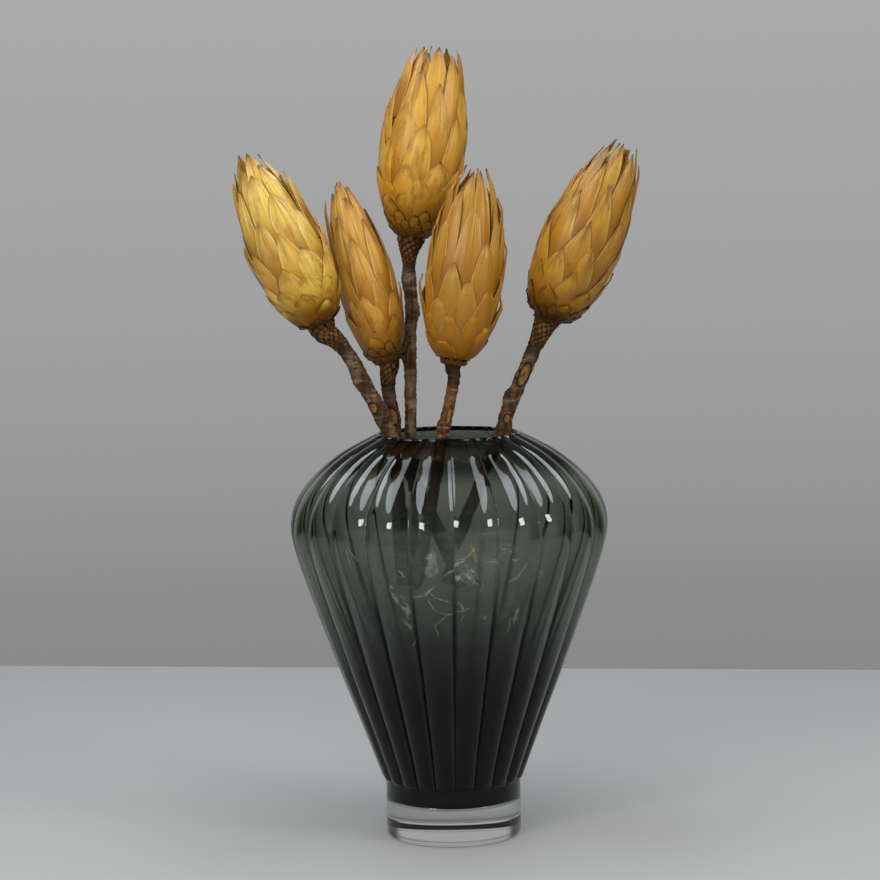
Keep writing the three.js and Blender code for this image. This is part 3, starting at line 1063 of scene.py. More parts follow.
    def flute_tree(self, material: Material) -> Growth:
        """Make the tree that presses the flutes into a turned body.

        Args:
            material: The smoked glass.

        Returns:
            The tree.
        """
        growth = Growth(
            "pressed_flutes",
            material,
            {
                "Flutes": float(self.flutes),
                "Turn": self.flute_turn,
                "Flatness": self.flatness,
                "Height": self.crest(1.0)[1],
            },
        )
        x, y, z = growth.parts(growth.place())
        angle = y.arctan2(x) + (math.pi / 2 + 4 * math.pi) - growth.size("Turn")
        across = (angle * growth.size("Flutes") / (2 * math.pi)).fraction() * 2.0 - 1.0
        crest = 1.0 - across * across
        soft = growth.attribute("blunt")
        groove = 1.0 - (crest * crest + soft * soft) ** growth.size("Flatness")
        radius = ((x * x + y * y) ** 0.5).most(1e-6)
        keep = 1.0 - groove * growth.attribute("groove") / radius
        height = z / growth.size("Height")
        low, high = height.step(0.78, 0.58), height.step(0.86, 0.95)
        outside = growth.attribute("outside")
        # Painted shade: dark lines along the grooves, high and low, and a dark band under the rim.
        line = across.size().step(0.93, 0.995) * high * 0.8
        line = line.most(across.size().step(0.84, 0.95) * low)
        line = line.most(height.step(0.90, 0.945) * 0.85) * outside
        # Painted glint: beside the low grooves the glass keeps more of its mirror.
        glint = across.step(0.70, 0.77) * across.step(0.88, 0.82) * height.step(0.66, 0.50)
        # dusk darkens the lower body and, outside, the band under the rim: partly deeper smoke, partly
        # painted shade, since it also dims the reflections there.
        dusk = height.step(0.70, 0.32).most(height.step(0.89, 0.95) * outside)
        made = growth.start.outputs["Geometry"]
        for name, value in (("line", line), ("dusk", dusk), ("glint", glint * outside)):
            made = growth.store(made, name, value)
        growth.finish(growth.moved(made, growth.vector(x * keep, y * keep, z)))
        return growth

    def body(self, material: Material) -> Thing:
        """Make the fluted body.

        Args:
            material: The smoked glass.

        Returns:
            The piece, as one closed wall.
        """
        section, angles = self.body_profile(), self.flute_angles()
        points, faces = lathe([(r, z) for r, z, _ in section], angles)
        turned = mesh_object("fluted_body", points, faces)
        last_outside, inner = len(section) - len(self.inside()) - 1, self.inner_sharpness
        rings = {
            "groove": [depth for _, _, depth in section],
            "blunt": [inner if k > last_outside else self.outer_sharpness for k, _ in enumerate(section)],
            "outside": [float(r[2] > 0.0 and k <= last_outside) for k, r in enumerate(section)],
        }
        for name, values in rings.items():
            store(turned, name, per_ring(values[1:-1], len(angles)))
        return self.flute_tree(material).grow(turned)

    def foot_ring(self, radius: float, height: float) -> float:
        """Give the painted contact shade on the foot's rounded lower edge at a point of its section.

        Args:
            radius: The point's radius in metres.
            height: The point's height in metres.

        Returns:
            0 for clear glass to 1 for the darkest line.
        """
        above = height - self.foot_edge
        if 0.4 * MM < above < 1.1 * MM:
            return 0.55
        return 0.9 if height < 0.6 * MM and radius > self.foot_radius - 0.8 * self.foot_edge else 0.0

    def foot(self, clear: Material, dark: Material) -> Thing:
        """Make the clear foot, whose top face is fused to the dark body.

        Args:
            clear: The clear glass.
            dark: The dark glass as it is seen from inside the foot.

        Returns:
            The piece.
        """
        top, out, edge = self.foot_height - self.seam, self.foot_radius, self.foot_edge
        ring = out - edge - 2.0 * MM
        section = [(part, self.recess) for part in (0.0, 0.5 * out, ring)] + [(ring + 0.8 * MM, 0.0)]
        for k in range(9):
            turn = math.pi / 2 * k / 8
            section.append((out - edge + edge * math.sin(turn), edge - edge * math.cos(turn)))
        section += [(out, edge + step * MM) for step in (0.15, 0.45, 1.05, 1.35)]
        section += [(out, lerp(edge, top, k / 10)) for k in range(1, 10)]
        section += [(out, top - 0.06 * MM), (out - 0.06 * MM, top), (0.5 * out, top), (0.0, top)]
        points, faces = lathe(section, even_angles(self.foot_sides))
        made = mesh_object("clear_foot", points, faces)
        # Painted contact shade along the foot's lower edge, stored as line.
        rings = [self.foot_ring(radius, height) for radius, height in section[1:-1]]
        store(made, "line", per_ring(rings, self.foot_sides))
        made.data.materials.append(clear)
        made.data.materials.append(dark)
        for face in made.data.polygons:
            if min(made.data.vertices[v].co.z for v in face.vertices) > top - 0.03 * MM:
                face.material_index = 1
        return made


@dataclass(frozen=True)
class Fold:
    """A sharp fold on the front of the film.

    Its course is a row of widths and heights. They and its own width are in millimetres. strength is how
    strongly its painted glint shows, and leafy how far it has the colour of the leaf scrap.
    """

    course: tuple[tuple[float, float], ...]
    width: float = 0.5
    strength: float = 0.8
    leafy: float = 0.0


FOLDS = (
    Fold(((10.5, 162.0), (12.2, 158.0), (12.8, 152.5)), 1.0, 1.0, 1.0),
    Fold(((-53.0, 161.0), (-50.0, 156.0), (-45.0, 154.0)), 0.7, 0.6),
    Fold(((-53.0, 157.5), (-49.0, 151.0)), 0.6, 0.7),
    Fold(((-29.5, 143.5), (-28.0, 138.5), (-25.5, 133.5)), 1.5, 1.0),
    Fold(((-26.0, 134.0), (-21.5, 129.5), (-23.0, 125.5), (-20.0, 121.0)), 1.6, 1.0),
    Fold(((-24.5, 138.5), (-22.0, 133.0), (-18.5, 128.0)), 0.5, 0.8),
    Fold(((-25.5, 151.0), (-22.5, 147.0)), 0.5, 0.7),
    Fold(((-9.0, 160.0), (-8.5, 152.0), (-10.0, 147.0)), 3.6, 0.26),
    Fold(((-5.5, 146.0), (0.5, 150.0), (6.5, 154.5), (13.0, 160.5)), 0.45, 0.9),
    Fold(((-11.0, 140.5), (-7.5, 136.5), (-1.5, 134.5)), 0.4, 0.7),
    Fold(((-11.0, 137.5), (-8.5, 131.0), (-3.5, 128.0), (5.5, 130.0), (10.5, 131.5)), 0.4, 0.6),
    Fold(((29.0, 143.5), (33.5, 147.0), (37.5, 152.5)), 0.45, 0.8),
    Fold(((30.5, 155.0), (32.5, 154.0), (34.5, 155.0)), 0.6, 0.7),
    Fold(((33.0, 130.5), (31.5, 126.5), (30.5, 122.5)), 1.4, 1.0),
    Fold(((29.5, 126.0), (28.5, 121.5), (27.0, 118.5)), 0.8, 0.7),
    Fold(((4.5, 134.5), (7.0, 129.5), (5.5, 125.0)), 0.5, 0.8),
    Fold(((-7.0, 143.0), (-12.5, 138.0), (-17.5, 137.0)), 0.6, 0.8),
    Fold(((-2.5, 127.5), (-7.5, 122.0), (-6.0, 117.0)), 0.45, 0.7),
    Fold(((15.0, 124.5), (16.5, 127.5)), 0.9, 0.6),
    Fold(((-16.0, 118.0), (-20.0, 111.0)), 0.4, 0.5),
)


@dataclass
class FilmWad:
    """Wad of clear film inside the vase: crumpled thin shells, one inside the other.

    The glass bends the view, so the folds lie wider and lower than they look: by the factor widening
    and by lowering, in millimetres. front_height and front_depth give the size of the face that the
    folds lie on, beside the wad's own.
    """

    centre: Vector = field(default_factory=lambda: Vector((0.0, 0.0, 0.128)))
    half_sizes: tuple[float, float, float] = (0.056, 0.052, 0.030)
    shells: tuple[float, ...] = (1.0, 0.74)
    crumple: float = 0.42
    folds: tuple[Fold, ...] = FOLDS
    widening: float = 1.05
    lowering: float = 5.0
    front_height: float = 1.12
    front_depth: float = 0.86
    rows: int = 64
    columns: int = 96
    ribbon_steps: int = 5
    ribbon_sides: int = 6
    ribbon_thickness: float = 0.32 * MM

    def front(self, x: float, z: float) -> Vector:
        """Give the place on the front of the wad at a width and a height in millimetres.

        Args:
            x: How far right it is in the photograph.
            z: How high it is there.

        Returns:
            The place in metres.
        """
        x, z = self.widening * x, z - self.lowering
        across = x * MM / self.half_sizes[0]
        up = (z * MM - self.centre.z) / (self.front_height * self.half_sizes[2])
        left = max(0.02, 1.0 - across**4 - up**4)
        return Vector((x * MM, -self.front_depth * self.half_sizes[1] * left**0.25, z * MM))

    def ribbon(self, number: int, fold: Fold) -> tuple[list, list]:
        """Make one sharp fold as a thin closed ribbon.

        Args:
            number: Number of the fold.
            fold: Its course, width and strength.

        Returns:
            Its points and its faces.
        """
        corners = [self.front(x, z) for x, z in fold.course]
        line = [
            corner.lerp(after, k / self.ribbon_steps)
            for corner, after in zip(corners, corners[1:])
            for k in range(self.ribbon_steps)
        ]
        line.append(corners[-1])
        steps, thick, points = len(line) - 1, 0.5 * self.ribbon_thickness, []
        for k, spot in enumerate(line):
            out = Vector((spot.x, spot.y, 0.0)).normalized()
            across = direction(line, k).cross(out).normalized()
            wide = fold.width * MM * (0.15 + max(0.0, math.sin(math.pi * k / steps)) ** 0.5)
            wide *= 0.8 + 0.4 * draw(k + 40 * number, 19)
            middle = spot + 0.5 * MM * (draw(k, number) * across + draw(k, number + 1) * out)
            for turn in even_angles(self.ribbon_sides):
                points.append(middle + across * wide * math.cos(turn) + out * thick * math.sin(turn))
        return points, tube_faces(steps + 1, self.ribbon_sides)

    def shell(self, share: float, seed: int) -> tuple[list, list]:
        """Crumple one ball of film.

        Args:
            share: Its size beside the whole wad.
            seed: Number of the ball.

        Returns:
            Its points and its faces.
        """
        ways = []
        for k in range(1, self.rows):
            polar = math.pi * k / self.rows
            out, up = math.sin(polar), -math.cos(polar)
            square = (out**4 + abs(up) ** 4) ** -0.25
            for turn in even_angles(self.columns):
                ways.append(Vector((out * math.cos(turn), out * math.sin(turn), up)) * square)
        ways += [Vector((0.0, 0.0, -1.0)), Vector((0.0, 0.0, 1.0))]
        placed = []
        for way in ways:
            spread = way * 1.7 + Vector((7.3 * seed, 1.9 * seed, 0.0))
            cells = noise.voronoi(spread)[0]
            small = noise.voronoi(spread * 2.6)[0]
            ridge, fine = cells[1] - cells[0], small[1] - small[0]
            reach = share * (1.0 - self.crumple * (0.9 - ridge) * 0.55 - 0.1 * (0.5 - fine))
            reach *= 1.0 + 0.16 * noise.noise(spread * 1.3)
            placed.append([self.centre[a] + way[a] * reach * self.half_sizes[a] for a in range(3)])
        return placed, ball_faces(self.rows - 1, self.columns)

    def build(self, material: Material) -> Thing:
        """Make the wad as one piece.

        Args:
            material: The clear film.

        Returns:
            The piece.
        """
        sheets = [(*self.shell(share, seed + 1), 0.0, 0.0) for seed, share in enumerate(self.shells)]
        for number, fold in enumerate(self.folds):
            sheets.append((*self.ribbon(number, fold), fold.strength, fold.leafy))
        points, faces, strengths, leafy = [], [], [], []
        for some, their_faces, strength, leaf in sheets:
            start = len(points)
            points += some
            faces += [tuple(v + start for v in face) for face in their_faces]
            strengths += [strength] * len(some)
            leafy += [leaf] * len(some)
        made = mesh_object("crumpled_clear_film", points, faces)
        store(made, "fold", strengths)
        store(made, "leafy", leafy)
        made.data.materials.append(material)
        return made


@dataclass(frozen=True)
class Neck:
    """The flared top of a stem."""

    top: float
    length: float
    scaly: bool


@dataclass(frozen=True)
class Scar:
    """A mark on a stem where a leaf was: where along it, on which side, and how long and wide."""

    share: float
    turn: float
    length: float
    width: float


@dataclass(frozen=True)
class Outline:
    """Half-width of a closed head along its axis, as shares of its widest and of its length."""

    base: float = 0.34
    top: float = 0.38
    widest: float = 0.42
    swell: float = 0.42
    taper: float = 1.6

    def at(self, share: float) -> float:
        """Give the half-width at a height.

        Args:
            share: The height, from 0 at the head's base to 1 at its tip.

        Returns:
            The half-width as a share of the widest.
        """
        if share < self.widest:
            rise = math.sin(math.pi / 2 * max(0.0, share) / self.widest)
            return lerp(self.base, 1.0, rise**self.swell)
        past = (min(1.0, share) - self.widest) / (1 - self.widest)
        return lerp(1.0, self.top, past**self.taper)

    def field(self, share: Value) -> Value:
        """Give the half-width at a height, in a node tree.

        Args:
            share: The height, from 0 at the head's base to 1 at its tip.

        Returns:
            The same as at() gives.
        """
        rise = ((share / self.widest).most(0.0).least(1.0) * (math.pi / 2)).sine() ** self.swell
        below = self.base + (1.0 - self.base) * rise
        past = ((share - self.widest) / (1.0 - self.widest)).most(0.0).least(1.0)
        above = 1.0 - (1.0 - self.top) * past**self.taper
        high = share.above(self.widest)
        return above * high + below * (1.0 - high)


@dataclass(frozen=True)
class BractForm:
    """How the bracts of one head are shaped.

    Widths are in millimetres and lengths are shares of the head's. climb holds two places in the row of
    bracts, each followed by how high up the head the tips are there.
    """

    width: float = 15.5
    shortest: float = 0.26
    longest: float = 0.62
    climb: tuple[float, float, float, float] = (0.45, 0.33, 0.75, 0.78)
    blunt: float = 4.0
    round: float = 0.72
    spread: float = 0.0
    stray: float = 1.6
    ragged: float = 0.02
    close: float = 0.5
    torn: float = 0.2
    first: float = 0.115
    hood: float = 0.9
    crown: int = 9


@dataclass(frozen=True)
class LooseBract:
    """A bract that stands off a head.

    Its heading is in degrees to the right of the front, its root and tip are shares of the head's
    length, and its width and how far its tip stands off are in millimetres.
    """

    heading: float
    root: float
    tip: float
    width: float
    off: float
    brown: float = 0.5


@dataclass(frozen=True, kw_only=True)
class Bract:
    """What the tree reads for one bract, in metres, radians and shares.

    sink is how deep its root lies in the head, lift how far its tip stands off and lean how far the tip
    bends in. rank is its place up the head. blunt, cut and tear are about its tip: how blunt it is, how
    broad at the least, and how ragged.
    """

    heading: float
    root: float
    tip: float
    width: float
    sink: float
    lift: float
    lean: float = 0.0
    rank: float
    shade: float
    twist: float = 0.0
    blunt: float
    cut: float = 0.0
    tear: float = 0.0
    brown: float


@dataclass
class Flower:
    """One head on its stem. Sizes and places are in millimetres, from the part's own frame."""

    place: str
    number: int
    base: tuple[float, float, float]
    tip: tuple[float, float, float]
    radius: float
    bracts: int
    turn: float
    neck: Neck
    path: tuple[tuple[float, float, float], ...]
    stem_radius: float
    cut_radius: float
    knots: tuple[float, ...]
    red: float
    scars: tuple[Scar, ...]
    form: BractForm = BractForm()
    bract: BractFinish = BractFinish()
    bark: BarkFinish = BarkFinish()
    outline: Outline = Outline()
    scale_top: float = 0.1
    loose: tuple[LooseBract, ...] = ()

    @property
    def axis(self) -> Vector:
        """Give the head's axis, from its base to its tip, in metres."""
        return (Vector(self.tip) - Vector(self.base)) * MM

    @property
    def length(self) -> float:
        """Give the head's length in metres."""
        return self.axis.length

    def upright_to_place(self) -> Matrix:
        """Give the move from an upright head on the origin to the head's own place."""
        turn = Vector((0.0, 0.0, 1.0)).rotation_difference(self.axis).to_matrix().to_4x4()
        return Matrix.Translation(Vector(self.base) * MM) @ turn

    def spiral_bract(self, i: int) -> Bract:
        """Work out one bract of the spiral, counted from the base.

        Args:
            i: Its number.

        Returns:
            The bract.
        """
        form, u, one = self.form, i / (self.bracts - 1), i + DRAWS_PER_FLOWER * self.number
        low, low_height, high, high_height = form.climb
        heights = (0.0, low_height, high_height, 0.965, 1.0)
        climb = float(np.interp(u, (0.0, low, high, 0.92, 1.0), heights))
        tip = lerp(form.first, 1.0, climb) + form.ragged * draw(one, 2)
        torn = u > 0.72 and draw(one, 14) < 2.0 * form.torn - 1.0
        blade = lerp(form.shortest, form.longest, min(1.0, 1.25 * u))
        fullness = 0.76 + 0.28 * math.sin(math.pi * min(1.0, u + 0.1))
        stray = form.stray * max(0.0, draw(one, 4) - 0.5) / 0.5
        loose = form.spread * (0.6 + 0.4 * draw(one, 5)) + stray
        return Bract(
            heading=self.turn + i * GOLDEN_ANGLE + 0.1 * draw(one, 1),
            root=max(0.004, tip - blade) * self.length,
            tip=min(1.015, tip) * self.length,
            width=form.width * MM * fullness * (1 + 0.16 * draw(one, 3)),
            sink=lerp(1.8, 2.4, min(1.0, 3 * u)) * MM,
            lift=(loose + 0.12 + 0.35 * draw(one, 20)) * MM,
            lean=form.close * max(0.0, (u - 0.8) / 0.2) ** 1.5,
            rank=u,
            shade=draw(one, 6),
            twist=0.16 * draw(one, 7),
            blunt=1.0 + 0.3 * draw(one, 13) + 0.8 * smoothstep(0.7, 0.95, u),
            cut=(1.5 + 0.4 * draw(one, 15)) * MM if torn else 0.0,
            tear=2.2 * MM if torn else 0.5 * MM,
            brown=0.35 * max(0.0, draw(one, 16)),
        )

    def crown_bract(self, k: int) -> Bract:
        """Work out one of the narrow bracts that close the top.

        Args:
            k: Its number.

        Returns:
            The bract.
        """
        one = k + DRAWS_PER_FLOWER * self.number
        tip = 0.955 + 0.045 * draw(one, 21)
        return Bract(
            heading=self.turn + 0.7 + k * GOLDEN_ANGLE,
            root=(tip - 0.5) * self.length,
            tip=tip * self.length,
            width=0.66 * self.form.width * MM * (1.0 + 0.2 * draw(one, 22)),
            sink=5.0 * MM,
            lift=-2.0 * MM,
            lean=0.42 + 0.26 * draw(one, 23),
            rank=0.97,
            shade=draw(one, 24),
            twist=0.2 * draw(one, 25),
            blunt=1.3,
            cut=0.8 * MM,
            tear=1.5 * MM,
            brown=0.3 + 0.3 * draw(one, 26),
        )

    def loose_bract(self, k: int) -> Bract:
        """Work out one of the bracts that stand off.

        Args:
            k: Its number.

        Returns:
            The bract.
        """
        loose = self.loose[k]
        return Bract(
            heading=math.radians(loose.heading - 90.0),
            root=loose.root * self.length,
            tip=loose.tip * self.length,
            width=loose.width * MM,
            sink=1.2 * MM,
            lift=loose.off * MM,
            rank=0.6,
            shade=draw(k + DRAWS_PER_FLOWER * self.number, 17),
            blunt=0.75,
            brown=loose.brown,
        )

    def base_scales(self) -> list[Bract]:
        """Work out the small scales that close the underside of the head.

        Returns:
            The scales, spread evenly over the surface.
        """
        heights = np.linspace(-0.03, self.scale_top, 300)
        radii = np.array([self.outline.at(t) for t in heights]) * self.radius * MM
        steps = np.hypot(np.diff(radii), np.diff(heights) * self.length)
        run = np.concatenate(([0.0], np.cumsum(steps)))
        sizes = np.interp(heights, (-0.02, 0.16), (4.0 * MM, 7.8 * MM))
        crowd = np.concatenate(([0.0], np.cumsum(2.0 * np.pi * radii[1:] * steps / sizes[1:] ** 2)))
        count = int(1.25 * crowd[-1])
        scales = []
        for i in range(count):
            reach = float(np.interp(crowd[-1] * (i + 0.5) / count, crowd, run))
            size, one = float(np.interp(reach, run, sizes)), i + DRAWS_PER_FLOWER * self.number
            root, tip = (float(np.interp(at, run, heights)) for at in (reach - 1.9 * size, reach))
            scales.append(
                Bract(
                    heading=self.turn + 1.1 + i * GOLDEN_ANGLE,
                    root=root * self.length,
                    tip=tip * self.length,
                    width=1.25 * size * (1 + 0.1 * draw(one, 8)),
                    sink=1.6 * MM,
                    lift=0.3 * MM,
                    rank=lerp(-0.35, -0.03, (tip + 0.02) / 0.18),
                    shade=draw(one, 9),
                    twist=0.04 * draw(one, 10),
                    blunt=0.7,
                    brown=0.3 * max(0.0, draw(one, 18)),
                )
            )
        return scales

    def bract_tree(self, material: Material, around: int, along: int) -> Growth:
        """Make the tree that grows a spiral of bracts from their stored measures.

        Args:
            material: The bracts' finish.
            around: Points round one bract's section.
            along: Steps from a bract's root to its tip.

        Returns:
            The tree.
        """
        growth = Growth(
            "bract_spiral",
            material,
            {
                "Head Length": self.length,
                "Head Radius": self.radius * MM,
                "Thickness": 0.9 * MM,
                "Waviness": 1.5 * MM,
                "Wrinkles": 0.35 * MM,
                "Edge Rise": 0.4 * MM,
                "Cupping": 0.10,
                "Hood": self.form.hood * MM,
                "Bluntness": self.form.blunt,
                "Roundness": self.form.round,
            },
        )
        blades = growth.on_points(growth.plate(around, along))
        s, side, layer = (growth.attribute(name) for name in ("along", "side", "layer"))
        root, tip, width = (growth.attribute(name) for name in ("root", "tip", "width"))
        heading, shade = growth.attribute("heading"), growth.attribute("shade")
        edge, square = side.size(), s * s
        teeth = growth.noise(growth.vector(side * 3.2, shade * 57.0, 0.0), 1.0, 2.0, 0.7)
        torn = growth.attribute("tear") * s.step(0.8, 1.0) * teeth.step(0.35, 0.65)
        height = root + s * (tip - root) - torn
        outline = self.outline.field(height / growth.size("Head Length")) * growth.size("Head Radius")
        stands = outline - growth.attribute("sink") * (1.0 - s) ** 1.15 + growth.attribute("lift") * square
        reach = stands * (1.0 - growth.attribute("lean") * square)
        blunt = growth.size("Bluntness") * growth.attribute("blunt")
        ogive = (1.0 - s.most(1e-4) ** blunt).most(0.0) ** growth.size("Roundness")
        full = width * 0.5 * (ogive * (0.84 + 0.2 * (s * math.pi).sine()) + 0.015)
        half = full.most(growth.attribute("cut"))
        wave = growth.noise(growth.vector(side * 0.8, s * 2.2, shade * 40.0), 1.0, 2.0, 0.5) - 0.5
        creased = growth.vector(side * 2.8, s * 1.3, shade * 40.0 + 11.0)
        wrinkle = growth.noise(creased, 1.0, 2.0, 0.6) - 0.5
        thick = growth.size("Thickness") * (0.45 + 0.55 * (1.0 - square * square))
        skin = layer.sign() * layer.size() ** 0.7 * 0.5 * thick
        keel = 0.45 * MM * (1.0 - edge) * (1.0 - 0.6 * square)
        rim = edge.step(0.72, 0.97) * growth.size("Edge Rise") * s.step(0.15, 0.6)
        cup = half * side * side * growth.size("Cupping") * s.step(0.1, 0.5)
        hood = growth.size("Hood") * s.step(0.82, 1.0)
        relief = (wave * growth.size("Waviness") + wrinkle * growth.size("Wrinkles")) * s.step(0.1, 0.6)
        out = (reach + skin + keel + rim - cup - hood + relief).most(0.4 * MM)
        uneven = growth.vector(s * 3.0, side.sign() * 3.7, shade * 23.0)
        half = half * (1.0 + 0.36 * (growth.noise(uneven, 1.0, 1.0, 0.5) - 0.5))
        bend = growth.attribute("twist") * square
        angle = heading + bend + side * (half / reach.most(3.0 * MM)).least(1.0)
        where = growth.vector(out * angle.cosine(), out * angle.sine(), height)
        growth.finish(growth.moved(blades, where))
        return growth

    def spiral(
        self, name: str, bracts: Sequence[Bract], material: Material, around: int, along: int
    ) -> Thing:
        """Grow a spiral of bracts.

        Args:
            name: Name of the object.
            bracts: The measures of each bract.
            material: The bracts' finish.
            around: Points round one bract's section.
            along: Steps from a bract's root to its tip.

        Returns:
            The bracts as one mesh, on an upright head on the origin.
        """
        seeds = mesh_object(name, [(0.0, 0.0, 0.0)] * len(bracts), [])
        for measure in fields(Bract):
            store(seeds, measure.name, [getattr(bract, measure.name) for bract in bracts])
        return self.bract_tree(material, around, along).grow(seeds)

    def core(self, material: Material) -> Thing:
        """Make the dark core that shows in the gaps between the bracts.

        Args:
            material: The finish of the gaps.

        Returns:
            The core, upright on the origin.
        """
        section, steps, shoulder = [(0.0, 0.0)], 28, 0.86
        for k in range(steps + 1):
            t = k / steps * shoulder
            cover = lerp(0.6, 3.6, min(1.0, t / 0.15)) * MM
            taper = 1.0 - 0.7 * max(0.0, (t - 0.42) / 0.44) ** 1.5
            section.append(((self.radius * MM * self.outline.at(t) - cover) * taper, t * self.length))
        section.append((0.0, 0.89 * self.length))
        points, faces = lathe(section, even_angles(32))
        made = mesh_object("core", points, faces)
        made.data.materials.append(material)
        return made

    def head(self, gap: Material) -> Thing:
        """Make the head.

        Args:
            gap: The finish of the core that shows between the bracts.

        Returns:
            The piece: a core, the scales at its base and the spiral of bracts.
        """
        name, material = "protea_head_" + self.place, self.bract.paint("bract_" + self.place)
        bracts = [self.spiral_bract(i) for i in range(self.bracts)]
        bracts += [self.crown_bract(k) for k in range(self.form.crown)]
        bracts += [self.loose_bract(k) for k, _ in enumerate(self.loose)]
        blades = self.spiral(name, bracts, material, around=28, along=18)
        scales = self.spiral("base_scales", self.base_scales(), material, around=12, along=6)
        made = joined(blades, scales, self.core(gap))
        made.data.transform(self.upright_to_place())
        made.data.update()
        return made

    def centre_line(self, steps: int) -> list[Vector]:
        """Give points down the middle of the stem, from under the head to the cut end.

        Args:
            steps: Number of steps along it.

        Returns:
            One point more than there are steps.
        """
        axis = self.axis.normalized()
        base = Vector(self.base) * MM
        points = [base - 0.3 * MM * axis, base - 5.0 * MM * axis]
        return spline(points + [Vector(p) * MM for p in self.path], 0.4, steps)

    def stem_width(self, length: float, share: float) -> float:
        """Give the stem's radius in metres at a share of its length.

        Args:
            length: The stem's length in metres.
            share: From 0 under the head to 1 at the cut end.

        Returns:
            The radius.
        """
        flare = max(0.0, 1.0 - share * length / (self.neck.length * MM)) ** 1.5
        plain = lerp(self.stem_radius, self.cut_radius, share)
        return (plain + (self.neck.top - self.stem_radius) * flare) * MM

    def frames(self, line: list[Vector]) -> list[tuple[Vector, Vector, Vector]]:
        """Give front, side and down at each point of the stem.

        Args:
            line: The stem's centre line.

        Returns:
            The three directions at each point.
        """
        made = []
        for k, _ in enumerate(line):
            down = direction(line, k)
            front = (FRONT - down * FRONT.dot(down)).normalized()
            made.append((front, down.cross(front), down))
        return made

    def bark_relief(self, share: float, turn: float, spot: Vector) -> tuple[float, float]:
        """Work out the bark's relief and the scar at one point.

        Args:
            share: Share of the stem's length from the head.
            turn: Angle round the stem from its front.
            spot: Place in metres, for the noise.

        Returns:
            How far the bark stands out in metres, and how much of a scar there is.
        """
        relief = 0.5 * noise.noise(Vector((spot.x * 260, spot.y * 260, spot.z * 110)))
        relief += 0.45 * noise.noise(Vector((spot.x * 420, spot.y * 420, spot.z * 700)))
        for n, at in enumerate(self.knots):
            near = math.exp(-(((share - at) / 0.028) ** 2))
            relief += 0.75 * near * (1 + math.cos(turn - 2.1 - 2.4 * n))
        scarred = 0.0
        for scar in self.scars:
            away = (turn - scar.turn + math.pi) % (2 * math.pi) - math.pi
            reach = math.hypot((share - scar.share) / scar.length, away / scar.width)
            scarred = max(scarred, 1.0 - smoothstep(0.0, 1.1, reach))
            relief += 0.45 * math.exp(-(((reach - 1.0) / 0.28) ** 2))
            relief -= 0.25 * smoothstep(1.0, 0.5, reach)
        return relief * MM, scarred

    def stem(self, bark: Material, scale: Material) -> Thing:
        """Make the stem with its neck.

        Args:
            bark: The bark's finish.
            scale: The finish of the neck's scales.

        Returns:
            The piece.
        """
        steps, sides = 300, 40
        line = self.centre_line(steps)
        length = sum((b - a).length for a, b in zip(line, line[1:]))
        points, neck, scar = [], [], []
        for k, (centre, (front, right, _)) in enumerate(zip(line, self.frames(line))):
            share = k / steps
            width = self.stem_width(length, share)
            under_head = 1.0 - smoothstep(1.05, 1.65, share * length / (self.neck.length * MM))
            for turn in even_angles(sides):
                way = front * math.cos(turn) + right * math.sin(turn)
                relief, scarred = self.bark_relief(share, turn, centre + way * width)
                points.append(centre + way * (width + relief))
                neck.append(under_head)
                scar.append(scarred)
        made = mesh_object("woody_stem_" + self.place, points, tube_faces(steps + 1, sides))
        store(made, "neck", neck)
        store(made, "scar", scar)
        made.data.materials.append(bark)
        if self.neck.scaly:
            made = joined(made, self.neck_scales(line, length, scale))
        return made

    def neck_scales(self, line: list[Vector], length: float, material: Material) -> Thing:
        """Set small pointed scales in a spiral on the neck.

        Args:
            line: The stem's centre line.
            length: The stem's length in metres.
            material: The scales' finish.

        Returns:
            The scales as one mesh.
        """
        count = int(SCALES_PER_MM * self.neck.length)
        frames = self.frames(line)
        places, turns, sizes, shades = [], [], [], []
        for i in range(count):
            share = (i + 0.5) / count * self.neck.length * MM / length
            at = share * (len(line) - 1)
            low = int(at)
            centre = line[low].lerp(line[low + 1], at - low)
            front, right, down = frames[low]
            turn = i * GOLDEN_ANGLE
            out = front * math.cos(turn) + right * math.sin(turn)
            places.append(centre + out * (self.stem_width(length, share) - 0.1 * MM))
            up = (-down + out * 0.16).normalized()
            across = up.cross(out).normalized()
            facing = Matrix((across, up, across.cross(up))).transposed()
            turns.append(tuple(facing.to_euler()))
            sizes.append(lerp(1.0, 0.7, i / count) * (1 + 0.12 * draw(i, 11)))
            shades.append(draw(i, 12))
        seeds = mesh_object("neck_scales", places, [])
        store(seeds, "facing", turns, "FLOAT_VECTOR")
        store(seeds, "size", sizes)
        store(seeds, "shade", shades)
        return self.scale_tree(material).grow(seeds)

    def scale_tree(self, material: Material) -> Growth:
        """Make the tree that sets one small pointed scale on each point.

        Args:
            material: The scales' finish.

        Returns:
            The tree.
        """
        sizes = {"Scale Length": 3.7 * MM, "Scale Width": 2.9 * MM, "Scale Height": 0.9 * MM}
        growth = Growth("neck_scales", material, sizes)
        plate = growth.plate(around=8, along=3)
        s, side, layer = (growth.attribute(name) for name in ("along", "side", "layer"))
        arch = (s * math.pi).sine()
        half = growth.size("Scale Width") * 0.5 * (0.25 + arch**0.8 * (1.0 - 0.25 * s))
        rise = growth.size("Scale Height") * (0.5 * arch + layer * 0.4 * (1.0 - 0.5 * s))
        shaped = growth.vector(side * half, (s - 0.5) * growth.size("Scale Length"), rise)
        growth.finish(growth.on_points(growth.moved(plate, shaped), "facing", "size"))
        return growth


